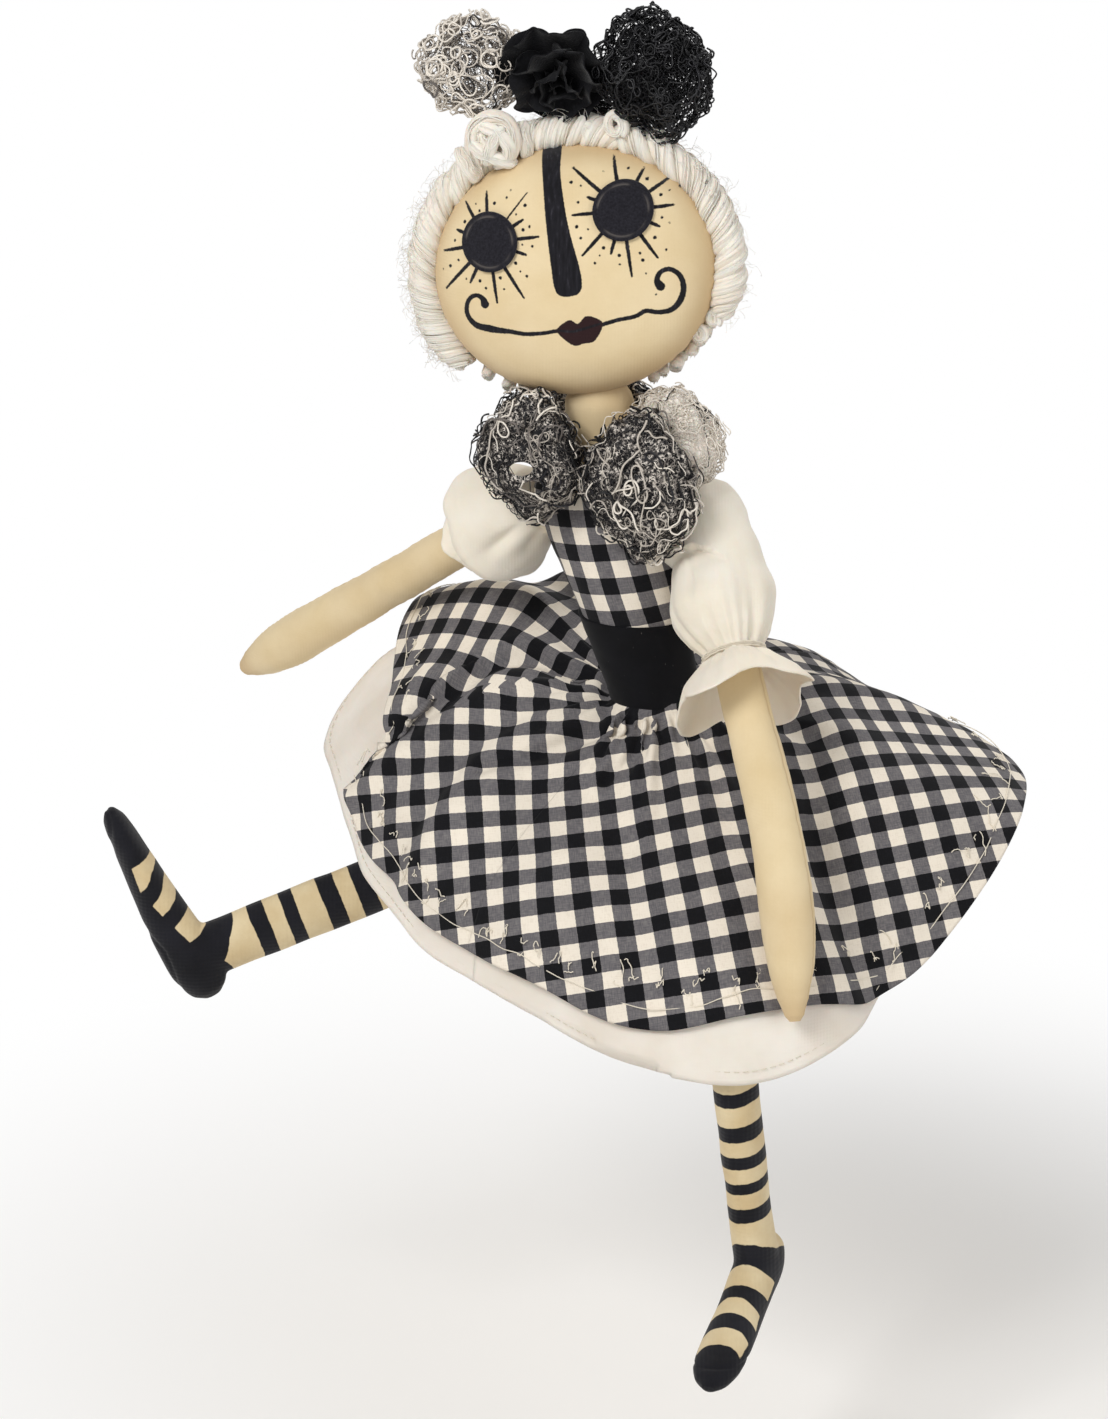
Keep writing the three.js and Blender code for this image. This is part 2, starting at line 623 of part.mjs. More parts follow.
// Main folds of the gingham: azimuth, half width in degrees, height, and where down the skirt each starts and ends.
const FOLDS = [
  [131, 13, 12, 0.15, 2],
  [103, 10, 9, 0.4, 2],
  [156, 10, 17, 0, 0.5],
  [-80, 18, 4, 0.1, 2],
  [-104, 9, 5, 0.1, 0.9],
  [-140, 12, 7, 0.2, 2],
  [-170, 12, 7, 0.2, 2],
  [30, 16, 3, 0.3, 2],
  [66, 16, 4, 0.2, 2],
];
const FRONT_SEAM = 48;             // azimuth of the front seam, between the legs
const BACK_SEAM = FRONT_SEAM - 180;
const SEAM_HALF_GAP = 0.5;         // degrees
const waist = vec(SPINE[6][1], SPINE[6][2], WAIST_HEIGHT);

// The drape table read round the full circle.
function drapeRow(azimuth) {
  const turn = DRAPE.map((row) => [row[0] + 360, ...row.slice(1)]);
  const before = DRAPE.map((row) => [row[0] - 360, ...row.slice(1)]);
  return between([...before, ...DRAPE, ...turn], wrapDegrees(azimuth));
}

function foldHeight(azimuth, t) {
  let height = 0;
  for (const [middle, width, rise, from, to] of FOLDS) {
    const near = Math.exp(-((wrapDegrees(azimuth - middle) / width) ** 2));
    const grows = smooth((t - from) / 0.3);
    const fades = to > 1 ? 1 : smooth((to + 0.3 - t) / 0.3);
    height += rise * near * grows * fades;
  }
  return height;
}

// A point of the drape: share t of the way from waist to petticoat hem, lifted along the profile's normal.
function drapePoint(azimuth, t, lift) {
  const [reach, height, bell, , low] = drapeRow(azimuth);
  const out = reach - WAIST_RADIUS;
  const fall = height - WAIST_HEIGHT;
  const chord = Math.hypot(out, fall);
  const bow = t ** (0.85 * low);
  const rise = bell * 4 * bow * (1 - bow) + lift;
  const radius = WAIST_RADIUS + out * t - (fall / chord) * rise;
  const z = WAIST_HEIGHT + fall * t + (out / chord) * rise;
  return vec(waist.x - Math.sin(rad(azimuth)) * radius, waist.y - Math.cos(rad(azimuth)) * radius, z);
}

const petticoatPoint = (azimuth, t) => drapePoint(azimuth, t, -PETTICOAT_DROP);

function skirtPoint(azimuth, t) {
  const share = drapeRow(azimuth)[3];
  const lift = mix(LAYER_LIFT, SKIRT_LIFT, Math.min(1, 4 * t)) + foldHeight(azimuth, t);
  return drapePoint(azimuth, t * share, lift);
}

// Half of a skirt, between the front seam and the back seam.
function panel(point, from, to, columns, rows) {
  return sheet((u, v) => point(mix(from, to, u), v), columns, rows, CLOTH);
}

const leftHalf = [BACK_SEAM + SEAM_HALF_GAP, FRONT_SEAM - SEAM_HALF_GAP];
const rightHalf = [FRONT_SEAM + SEAM_HALF_GAP, BACK_SEAM + 360 - SEAM_HALF_GAP];

// Materials

const finishes = {
  muslin: { color: 0xe6d3a6, roughness: 0.9, metalness: 0 },
  striped: { color: 0xd8c5a0, roughness: 0.9, metalness: 0 },
  felt: { color: 0x26252c, roughness: 1, metalness: 0 },
  wool: { color: 0xefe6da, roughness: 0.95, metalness: 0 },
  gingham: { color: 0x5b5960, roughness: 0.85, metalness: 0 },
  blackCotton: { color: 0x0c0c12, roughness: 0.85, metalness: 0 },
  whiteCotton: { color: 0xebe3d8, roughness: 0.85, metalness: 0 },
  whiteLace: { color: 0xe9dfd2, roughness: 0.8, metalness: 0 },
  blackLace: { color: 0x101015, roughness: 0.7, metalness: 0 },
  silverLace: { color: 0x8a8685, roughness: 0.45, metalness: 0.5 },
};

const doll = new THREE.Group();

function place(name, geometry, finish) {
  const piece = new THREE.Mesh(geometry, new THREE.MeshStandardMaterial(finishes[finish]));
  piece.name = name;
  doll.add(piece);
}

// Assembly

// Degrees from the seated pose: minus lifts a thigh or stretches a knee, plus lowers or bends it.
const KNEE_RANGE_LEFT = [-80, 10];
const KNEE_RANGE_RIGHT = [-15, 60];
const HIP_RANGE_LEFT = [-20, 70];
const HIP_RANGE_RIGHT = [-25, 60];
const SHOULDER_RANGE_LEFT = [0, 60];
const SHOULDER_RANGE_RIGHT = [0, 60];
const legAxisLeft = bodyLeft;
const legAxisRight = up.clone().cross(thighRightAim).normalize();
const armAxisLeft = bodyLeft.clone().negate();
const armAxisRight = armRightAim.clone().cross(up).normalize();

place('shin_left', shin(kneeLeft, shinLeftAim, footLeftAim), 'striped');
place('shin_right', shin(kneeRight, shinRightAim, footRightAim), 'striped');

const kneeRoom = (knee, axis, direction, range) => sweepRoom(
  knee, axis, direction, ...range, KNEE_BALL + GAP + 0.4, KNEE_BALL + GAP, 4 * KNEE_BALL,
);
place('thigh_left', cut(
  thigh(hipLeft, thighLeftAim, up),
  [kneeRoom(kneeLeft, legAxisLeft, shinLeftAim, KNEE_RANGE_LEFT)],
), 'striped');
place('thigh_right', cut(
  thigh(hipRight, thighRightAim, up),
  [kneeRoom(kneeRight, legAxisRight, shinRightAim, KNEE_RANGE_RIGHT)],
), 'striped');

const armLeft = arm(armLeftPoints);
const armRight = arm(armRightPoints);
const shoulderRoom = (seam, axis, direction, range) => sweepRoom(
  seam, axis, direction, ...range, ARM_BALL + GAP + 0.2, ARM_BALL + 0.2, 3 * ARM_BALL,
);
const armRoom = [
  shoulderRoom(shoulderLeft, armAxisLeft, armLeftAim, SHOULDER_RANGE_LEFT),
  shoulderRoom(shoulderRight, armAxisRight, armRightAim, SHOULDER_RANGE_RIGHT),
];
const hipRoom = (seam, axis, direction, range) => sweepRoom(
  seam, axis, direction, ...range, HIP_BALL + GAP + 0.4, HIP_BALL + GAP + 0.2, 4 * HIP_BALL,
);
place('torso', cut(torsoBody(), [
  ...armRoom,
  hipRoom(hipLeft, legAxisLeft, thighLeftAim, HIP_RANGE_LEFT),
  hipRoom(hipRight, legAxisRight, thighRightAim, HIP_RANGE_RIGHT),
]), 'muslin');
place('arm_left', armLeft, 'muslin');
place('arm_right', armRight, 'muslin');

const bandTop = WAIST_HEIGHT + BAND_HEIGHT;
place('bodice', cut(torsoSlice(bandTop, BODICE_TOP, GAP + CLOTH), [torsoBody(GAP), ...armRoom]), 'gingham');
const bandLow = WAIST_HEIGHT + LAYER_LIFT + 1.2;
place('waistband', cut(torsoSlice(bandLow, bandTop - GAP, GAP + BAND_CLOTH), [torsoBody(GAP)]), 'blackCotton');

const dressRoom = [torsoSlice(WAIST_HEIGHT, BODICE_TOP + GAP, 2 * GAP + CLOTH), torsoBody(GAP)];
const sleeveLeft = sleeve(armLeftPoints, SLEEVE_LEFT);
const sleeveRight = sleeve(armRightPoints, SLEEVE_RIGHT);
place('sleeve_left', cut(sleeveLeft, dressRoom), 'whiteCotton');
place('sleeve_right', cut(sleeveRight, dressRoom), 'whiteCotton');
place('sleeve_tie_left', sleeveTie(armLeftPoints, SLEEVE_LEFT.length), 'whiteCotton');
place('sleeve_tie_right', sleeveTie(armRightPoints, SLEEVE_RIGHT.length), 'whiteCotton');

const head = cut(headBody(), [ball(neckPivot, NECK_BALL + 2 * GAP)]);
place('head', head, 'muslin');
place('eye_disc_right', eyeDisc(-26.5, 15.5), 'felt');
place('eye_disc_left', eyeDisc(23.5, 21), 'felt');
const roll = cut(hairRoll(), [headBody(GAP)]);
place('hair_roll', roll, 'wool');
const neckRoom = ball(neckPivot, NECK_BALL + 5);
place('hair_cap', cut(hairCap(), [hairRoll(GAP), neckRoom]), 'wool');
const headgear = [headBody(GAP), hairRoll(GAP), hairCap(GAP)];
place('hair_topknot', cut(puff(TOPKNOT), headgear), 'wool');
place('crepe_flower', cut(puff(FLOWER), [...headgear, puff(TOPKNOT, GAP)]), 'blackLace');
const aroundFlower = [...headgear, puff(TOPKNOT, GAP), puff(FLOWER, GAP)];
place('lace_puff_white', cut(puff(LACE_WHITE), aroundFlower), 'whiteLace');
place('lace_puff_black', cut(puff(LACE_BLACK), [...aroundFlower, puff(LACE_WHITE, GAP)]), 'blackLace');
place('tulle_bow', cut(puff(TULLE), [...aroundFlower, puff(LACE_WHITE, GAP), puff(LACE_BLACK, GAP)]), 'blackLace');

const headTilts = [-NECK_TILT_RANGE, 0, NECK_TILT_RANGE];
const headRoom = [headBody(GAP), hairCap(GAP), hairRoll(GAP)]
  .flatMap((piece) => swept(piece, neckPivot, headFront, headTilts));
const chest = [...dressRoom, sleeveLeft, sleeveRight];
place('collar_lobe_right', cut(puff(COLLAR_RIGHT), [...headRoom, ...chest]), 'silverLace');
place('collar_lobe_left', cut(puff(COLLAR_LEFT), [...headRoom, ...chest, puff(COLLAR_RIGHT, GAP)]), 'silverLace');
const lobes = [puff(COLLAR_RIGHT, GAP), puff(COLLAR_LEFT, GAP)];
place('collar_white_lace', cut(puff(COLLAR_WHITE), [...headRoom, ...chest, ...lobes]), 'whiteLace');
place('collar_back_lace', cut(puff(COLLAR_BACK), [...headRoom, ...chest, ...lobes, puff(COLLAR_WHITE, GAP)]), 'blackLace');

place('skirt_left_panel', panel(skirtPoint, ...leftHalf, 26, 7), 'gingham');
place('skirt_right_panel', panel(skirtPoint, ...rightHalf, 28, 7), 'gingham');
place('petticoat_left_panel', panel(petticoatPoint, ...leftHalf, 26, 7), 'whiteCotton');
place('petticoat_right_panel', panel(petticoatPoint, ...rightHalf, 28, 7), 'whiteCotton');

export default doll;
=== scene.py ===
"""A seated stuffed cloth doll: painted pillow face, wool hair, yarn-lace ornaments, gingham dress, striped legs.

Lengths are millimetres in the tables and functions that shape a piece, and metres once they are in a mesh.
Left and right are the doll's own. The shapes repeat the part's own sizes, so that each piece lies on its solid.
"""
import math
from functools import partial

import bpy
import numpy as np
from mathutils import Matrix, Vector


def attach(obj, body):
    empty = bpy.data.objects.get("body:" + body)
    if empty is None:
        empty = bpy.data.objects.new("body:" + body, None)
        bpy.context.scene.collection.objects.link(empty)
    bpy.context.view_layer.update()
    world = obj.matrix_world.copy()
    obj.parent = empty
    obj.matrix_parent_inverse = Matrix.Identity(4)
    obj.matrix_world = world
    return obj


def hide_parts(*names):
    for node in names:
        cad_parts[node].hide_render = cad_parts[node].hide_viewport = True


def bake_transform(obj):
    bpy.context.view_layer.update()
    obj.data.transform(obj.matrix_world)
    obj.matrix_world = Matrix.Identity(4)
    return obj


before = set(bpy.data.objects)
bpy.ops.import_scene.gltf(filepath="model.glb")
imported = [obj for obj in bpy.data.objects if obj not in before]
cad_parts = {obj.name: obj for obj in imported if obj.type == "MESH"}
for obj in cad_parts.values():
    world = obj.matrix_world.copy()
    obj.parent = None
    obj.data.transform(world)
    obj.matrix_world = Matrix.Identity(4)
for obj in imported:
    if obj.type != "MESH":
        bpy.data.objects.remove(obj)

bl_info = {
    "name": "Stuffed Art Doll",
    "version": (1, 0, 0),
    "blender": (4, 5, 0),
    "location": "3D View > Sidebar > Doll",
    "description": "Makes a seated cloth doll with painted face, wool hair, lace, gingham dress and striped legs",
    "category": "Object",
}

MM = 0.001

# Sizes shared with the solids, in millimetres

BODY_YAW = 22
HEAD_YAW = 10
HEAD_NOD = 6
HEAD_TILT = 9
HEAD_HALF = (52.5, 46, 26)         # half width, half height, half depth of the pillow
HEAD_RISE = 51
HEAD_SHIFT = -8.4
PILLOW = 2.3                       # how square the pillow's rim is, 2 being an ellipsoid
EYE_DIAMETER = 21.5
EYES = {"right": (-26.5, 15.5), "left": (23.5, 21)}
FELT = 1.2
HAIR_ROLL_RADIUS = 6.8
ARM_BALL = 9.5
ARM_LENGTH = 196
THIGH_LENGTH = 78
SHIN_LENGTH = 98
FOOT_LENGTH = 84
HEEL_BACK = 17.5
HIP_BALL = 11
KNEE_BALL = 8.8
FOOT_HALF_WIDTH = 9.6
FOOT_HALF_HEIGHT = 8.8
HIP_SPACING = 40
HIP_REACH = 20
HIP_HEIGHT = 22
WAIST_HEIGHT = 99
BAND_HEIGHT = 34
BODICE_TOP = 183
WAIST_RADIUS = 18.6
# Each sleeve: shoulder to gathering thread, radius of the puff, how far above the thread it is widest, length and
# radius of its frill, the turn of its waves, depth of its pleats
SLEEVES = {"left": {"length": 58, "puff": 20, "bag": 20, "frill": 17.5, "radius": 26, "flare": 0, "pleat": 0.7},
           "right": {"length": 28.5, "puff": 23.5, "bag": 10, "frill": 8, "radius": 13, "flare": 1, "pleat": 0.15}}
CLOTH = 0.9
GAP = 0.3
LAYER_LIFT = 1.3
PETTICOAT_DROP = 0.62
SKIRT_LIFT = 2.5
NECK = np.array((-54, -2.5, 213))
FRONT_SEAM = 48
BACK_SEAM = FRONT_SEAM - 180
LOOK_DOWN = 16                     # how far down the viewer looks at the collar

# Sizes of this scene alone, in millimetres: cloths and threads are drawn thicker than the real ones
BAND_CLOTH = 1.6
SKIRT_CLOTH = 0.5
SLEEVE_CLOTH = 0.7
CREPE_CLOTH = 0.3
GATHERING_THREAD = 0.35
HEM_THREAD = 0.2
TOPSTITCH = 0.16
NET_BAR = 0.2
STRAY_HAIR = 0.075
DRILL_LENGTH = 80                  # of the drill that opens the holes of the lace
WEAVE = 0.6                        # spacing of the threads of muslin and white cotton
LEG_WEAVE = 0.8
SKIN_VOXEL = 0.75                  # grain of the remesh that joins shin and foot
THIGH_BAND = 13                    # from one black band of a thigh to the next
THIGH_BAND_HALF = 3.2
THIGH_BAND_START = 3.5
NECK_DOME = 12                     # height of the rounded end of the neck, inside the head
BACK_WOOL = 2.5                    # radius of a hank over the back of the head

# The stage: places in metres, powers in watts
CAMERA_PLACE = (-0.07084, -1.57862, 0.63701)
CAMERA_PITCH = 71
CAMERA_LENS = 112.02
CAMERA_SENSOR = 36
FLOOR_HEIGHT = -0.19
FLOOR_SIZE = 8
DAYLIGHT = 0.38
LIGHT_AIM = (-0.03, 0, 0.13)
# Key from the viewer's upper left, a broad fill from the right, a rim from behind: place, size, power
LIGHTS = {"key": ((-1.3, -1.7, 1.9), 1.1, 42), "fill": ((1.8, -1.3, 0.9), 1.6, 13), "rim": ((0.7, 1.7, 1.6), 1.0, 17)}

UP = np.array((0.0, 0.0, 1.0))
FRONT = np.array((-math.sin(math.radians(BODY_YAW)), -math.cos(math.radians(BODY_YAW)), 0))
LEFT = np.array((math.cos(math.radians(BODY_YAW)), -math.sin(math.radians(BODY_YAW)), 0))

# Height, where the spine is there, half width and half depth of the body.
SPINE = (
    (0, 0, 0, 26, 21), (5, -1.2, 0, 33, 27), (18, -4.5, -0.5, 38.5, 32), (40, -11, -1.5, 38, 31),
    (62, -18, -3, 29, 25), (82, -25.5, -4, 20.5, 19), (WAIST_HEIGHT, -31.5, -5, 16.4, 15.8),
    (116, -36.5, -5, 17, 16), (134, -41, -5, 19.4, 17), (152, -44.5, -4, 23.5, 18.5), (168, -47.5, -3, 28, 18),
    (180, -49.5, -3, 29, 15.5), (189, -51, -2.5, 20, 13), (197, -52.2, -2.5, 13.2, 12), (213, -54, -2.5, 13, 12),
)

# Azimuth round the waist from the viewer's side, reach and height of the petticoat's hem, how far the cloth
# bells out above the straight line from waist to hem, the gingham skirt's share of that length, and how low
# the bell sits, 1 being halfway and 3 near the hem.
DRAPE = (
    (-158, 116, 66, 15, 0.9, 1), (-135, 118, 64, 14, 0.94, 1), (-112, 124, 66, 12, 1, 1),
    (-96, 132, 64, 6, 1.05, 1), (-84, 130, 60, 4, 1.06, 1), (-70, 122, 46, 6, 1.07, 1.2),
    (-58, 113, 28, 9, 1.07, 1.5), (-44, 112, 7, 12, 0.985, 1.7), (-29, 118, -3, 13.5, 0.88, 1.7),
    (-15, 117, -9, 14.5, 0.85, 2), (1, 107, -7, 14, 0.91, 2.6), (13, 101, -3, 13, 0.92, 2.8),
    (28, 95, 4, 12, 0.92, 2.8), (46, 93, 10, 12, 0.93, 2.3), (62, 99, 16, 14, 0.93, 1.6),
    (76, 105, 25, 16.5, 0.93, 1.2), (86, 113, 33, 18, 0.945, 1.1), (94, 118, 41, 20, 0.945, 1),
    (102, 125, 49, 20, 0.92, 1), (109, 134, 56, 20, 0.83, 1), (117, 146, 60, 22, 0.755, 1),
    (125, 150, 71, 22, 0.76, 1), (134, 148, 84, 22, 0.8, 1), (146, 142, 88, 20, 0.84, 1),
    (160, 126, 80, 18, 0.88, 1), (180, 118, 70, 16, 0.88, 1),
)

# Main folds of the gingham: azimuth, half width in degrees, height, and where down the skirt each starts and ends.
FOLDS = (
    (131, 13, 12, 0.15, 2), (103, 10, 9, 0.4, 2), (156, 10, 17, 0, 0.5), (-80, 18, 4, 0.1, 2),
    (-104, 9, 5, 0.1, 0.9), (-140, 12, 7, 0.2, 2), (-170, 12, 7, 0.2, 2), (30, 16, 3, 0.3, 2), (66, 16, 4, 0.2, 2),
)

# Half thickness along the arm, from the round top to the blunt mitten tip.
ARM_SHAPE = (
    (0, 0.32), (0.02, 0.75), (0.05, 1), (0.25, 0.92), (0.5, 0.95), (0.7, 1.02), (0.82, 1.06),
    (0.9, 0.9), (0.96, 0.6), (0.99, 0.38), (1, 0.22),
)
ARM_BENDS_LEFT = ((-16, -47.6, 0.326), (-17.5, -49.7, 0.702), (-15, -70, 1))


def linear(code):
    """An sRGB hex value as linear red, green, blue and alpha."""
    parts = [int(code[i:i + 2], 16) / 255 for i in (0, 2, 4)]
    return tuple(c / 12.92 if c <= 0.04045 else ((c + 0.055) / 1.055) ** 2.4 for c in parts) + (1.0,)


# Shape helpers

def aim(azimuth, elevation):
    """A direction by its azimuth from the viewer, positive to the doll's right, and its elevation."""
    a, e = math.radians(azimuth), math.radians(elevation)
    return np.array((-math.sin(a) * math.cos(e), -math.cos(a) * math.cos(e), math.sin(e)))


def unit(v):
    return v / np.maximum(np.linalg.norm(v, axis=-1, keepdims=True), 1e-12)


def smooth(a):
    a = np.clip(a, 0, 1)
    return a * a * (3 - 2 * a)


def mix(a, b, t):
    return a + (b - a) * t


def wrap(a):
    return (a + 180) % 360 - 180


def read_line(rows, at):
    """Values read along the straight lines between the rows of a table of pairs."""
    return np.interp(at, *np.array(rows, float).T)


def side_angles(sides):
    """Angles of the sides of a ring."""
    return np.arange(sides) * 2 * math.pi / sides


def circle(angles, third=0):
    """Places on a circle of radius 1, with a third number for each."""
    return np.stack([np.cos(angles), np.sin(angles), third + 0 * angles], axis=-1)


def oval(centre, width, depth, a, b, angles):
    """Places round a centre, a out along width and b out along depth."""
    return centre + (a * np.cos(angles))[:, None] * width + (b * np.sin(angles))[:, None] * depth


def lean(axis, v):
    """The direction of v that stands square to an axis."""
    return unit(v - axis * np.sum(v * axis, axis=-1, keepdims=True))


def travelled(line):
    """Distance along a line, at each of its points."""
    return np.cumsum(np.linalg.norm(np.diff(line, axis=0, prepend=line[:1]), axis=1))


def bump(gap, width):
    """1 in the middle of a bump, falling away over its width."""
    return np.exp(-(gap / width) ** 2)


def between(rows, t):
    """Values read between the rows of a short table, smoothly."""
    last = len(rows) - 1
    if t <= rows[0][0]:
        return np.array(rows[0][1:], float)
    if t >= rows[last][0]:
        return np.array(rows[last][1:], float)
    i = next(k for k, row in enumerate(rows) if row[0] > t) - 1
    at = (t - rows[i][0]) / (rows[i + 1][0] - rows[i][0])
    p, q, r, s = (np.array(rows[k][1:], float) for k in (max(0, i - 1), i, i + 1, min(last, i + 2)))
    return q + 0.5 * at * (r - p + at * (2 * p - 5 * q + 4 * r - s + at * (3 * (q - r) + s - p)))


class Curve:
    """A smooth curve through points, read at shares of its length."""

    def __init__(self, points, samples=60):
        ends = [2 * points[0] - points[1], *points, 2 * points[-1] - points[-2]]
        line = []
        for p0, p1, p2, p3 in zip(ends, ends[1:], ends[2:], ends[3:]):
            d0, d1, d2 = (max(np.linalg.norm(b - a), 1e-6) ** 0.5 for a, b in ((p0, p1), (p1, p2), (p2, p3)))
            m1 = ((p1 - p0) / d0 - (p2 - p0) / (d0 + d1) + (p2 - p1) / d1) * d1
            m2 = ((p2 - p1) / d1 - (p3 - p1) / (d1 + d2) + (p3 - p2) / d2) * d1
            for k in range(samples):
                t = k / samples
                line.append(p1 + m1 * t + (3 * (p2 - p1) - 2 * m1 - m2) * t * t + (2 * (p1 - p2) + m1 + m2) * t ** 3)
        line.append(points[-1])
        self.line = np.array(line)
        self.reach = travelled(self.line)
        self.length = self.reach[-1]

    def at(self, distance):
        return np.stack([np.interp(distance, self.reach, self.line[:, k]) for k in range(3)], axis=-1)

    def along(self, distance):
        step = 0.5
        low = np.clip(distance - step, 0, self.length)
        high = np.clip(distance + step, 0, self.length)
        return unit(self.at(high) - self.at(low))

    def across(self, distance, front):
        """The way along the curve, and the two ways across it, the second towards front."""
        tangent = self.along(distance)
        depth = unit(front - tangent * (front @ tangent))
        return tangent, np.cross(tangent, depth), depth


def value_noise(points, size, seed=0):
    """Smooth noise from -1 to 1 at points, with features about size across."""
    p = np.asarray(points, float) / size + 37.7 * seed
    base = np.floor(p).astype(np.int64)
    f = smooth(p - base)
    total = np.zeros(p.shape[:-1])
    for dx in (0, 1):
        for dy in (0, 1):
            for dz in (0, 1):
                # A number for each corner of the noise's grid, mixed well from its whole coordinates
                h = (base + (dx, dy, dz)) @ np.array((374761393, 668265263, 2147483647)) & 0xFFFFFFFF
                h = ((h ^ (h >> 13)) * 1274126177) & 0xFFFFFFFF
                h = (h ^ (h >> 16)) & 0xFFFF
                weight = 1.0
                for axis, d in enumerate((dx, dy, dz)):
                    weight = weight * (f[..., axis] if d else 1 - f[..., axis])
                total += weight * (h / 32767.5 - 1)
    return total


# Mesh helpers

def deselect():
    bpy.ops.object.select_all(action="DESELECT")


def pick(piece):
    """Make a piece the only one selected, and the active one."""
    deselect()
    piece.select_set(True)
    bpy.context.view_layer.objects.active = piece


def vertex_numbers(mesh, key):
    """Three numbers for each vertex of a mesh, its place or its normal."""
    flat = np.zeros(len(mesh.vertices) * 3)
    mesh.vertices.foreach_get(key, flat)
    return flat.reshape(-1, 3)


def name_values(mesh, key, numbers):
    """Keep one number for each vertex under a name, for the finishes to read."""
    mesh.attributes.new(key, "FLOAT", "POINT").data.foreach_set("value", np.asarray(numbers, np.float32))


def new_piece(name, points, faces, materials, values=None, uv=None):
    """A smooth mesh object from points in millimetres. values are named numbers per point, uv its place on the
    cloth."""
    mesh = bpy.data.meshes.new(name)
    mesh.from_pydata((np.asarray(points) * MM).tolist(), [], [tuple(map(int, face)) for face in faces])
    for key, numbers in (values or {}).items():
        name_values(mesh, key, numbers)
    if uv is not None:
        corners = np.zeros(len(mesh.loops), np.int32)
        mesh.loops.foreach_get("vertex_index", corners)
        layer = mesh.uv_layers.new(name="cloth")
        layer.data.foreach_set("uv", np.asarray(uv, np.float32)[corners].ravel())
    for material in materials:
        mesh.materials.append(material)
    mesh.update()
    piece = bpy.data.objects.new(name, mesh)
    bpy.context.scene.collection.objects.link(piece)
    pick(piece)
    bpy.ops.object.mode_set(mode="EDIT")
    bpy.ops.mesh.select_all(action="SELECT")
    bpy.ops.mesh.normals_make_consistent(inside=False)
    bpy.ops.object.mode_set(mode="OBJECT")
    bpy.ops.object.shade_smooth()
    return piece


def grid_faces(rows, columns, closed=False):
    """Quads over a grid of points, numbered row by row. closed joins the last column to the first."""
    i, j = np.meshgrid(np.arange(rows - 1), np.arange(columns if closed else columns - 1), indexing="ij")
    k = (j + 1) % columns
    a, b = i * columns + j, i * columns + k
    c, d = (i + 1) * columns + k, (i + 1) * columns + j
    return np.stack([a, b, c, d], axis=-1).reshape(-1, 4)


def closed_loft(rings):
    """Points and faces of a skin over rings, shape (rings, sides, 3), with a point at each end."""
    count, sides = rings.shape[:2]
    points = np.concatenate([rings.reshape(-1, 3), [rings[0].mean(axis=0)], [rings[-1].mean(axis=0)]])
    faces = list(grid_faces(count, sides, True))
    first, last = count * sides, count * sides + 1
    for j in range(sides):
        k = (j + 1) % sides
        faces.append((first, k, j))
        faces.append((last, (count - 1) * sides + j, (count - 1) * sides + k))
    return points, faces


def padded_values(values):
    """Per-point numbers of rings, with the two end points added."""
    return np.concatenate([values.ravel(), [values[0].mean()], [values[-1].mean()]])


def apply_modifier(piece, kind, **settings):
    """Add a modifier to a piece, as from the menu, and apply it."""
    pick(piece)
    bpy.ops.object.modifier_add(type=kind)
    modifier = piece.modifiers[-1]
    for key, value in settings.items():
        setattr(modifier, key, value)
    bpy.ops.object.modifier_apply(modifier=modifier.name)


def thicken(piece, thickness):
    """Give a cloth sheet its thickness, below the side that shows."""
    apply_modifier(piece, "SOLIDIFY", thickness=thickness * MM, offset=-1, use_rim=True)


ODD_WAY = np.array((0.31, 0.52, 0.79))      # a way that no strand follows, to turn its sides from


def tubes(name, paths, radius, materials, sides=5, tones=0.5, taper=True, fronts=None):
    """Round strands along paths, all in one mesh. A radius or a tone is one number, or a list with one entry per
    path: a number, or numbers per point, or per point and side. fronts turn the first side outward."""
    points, faces, tone_values, laid = [], [], [], []
    start = 0
    angles = side_angles(sides)

    def spread(values, index, count):
        values = np.asarray(values[index] if isinstance(values, list) else values, float)
        return np.array(np.broadcast_to(values.reshape(values.shape + (1,) * (2 - values.ndim)), (count, sides)))

    for index, path in enumerate(paths):
        path = np.asarray(path, float)
        count = len(path)
        tangent = unit(np.gradient(path, axis=0))
        side = lean(tangent, ODD_WAY if fronts is None else fronts[index])
        other = np.cross(tangent, side)
        r = spread(radius, index, count)
        if taper:
            r[[0, -1]] *= 0.35
        rings = path[:, None] + r[..., None] * (np.cos(angles)[:, None] * side[:, None]
                                                + np.sin(angles)[:, None] * other[:, None])
        loft_points, loft_faces = closed_loft(rings)
        points.append(loft_points)
        faces.extend(np.asarray(face) + start for face in loft_faces)
        tone_values.append(padded_values(spread(tones, index, count)))
        laid.append(np.stack([padded_values(5.3 * index + angles[None, :] * r),
                              padded_values(travelled(path)[:, None] + 0 * r)], axis=-1))
        start += len(loft_points)
    return new_piece(name, np.concatenate(points), faces, materials,
                     values={"tone": np.concatenate(tone_values)}, uv=np.concatenate(laid) * MM)


def join(pieces):
    """Join pieces into the first of them."""
    deselect()
    for piece in pieces:
        piece.select_set(True)
    bpy.context.view_layer.objects.active = pieces[0]
    bpy.ops.object.join()
    return pieces[0]


# Material helpers

def show(tree, shader):
    """Link a shader to the tree's output."""
    output = next(n for n in tree.nodes if n.type.startswith("OUTPUT"))
    tree.links.new(shader, output.inputs[0])


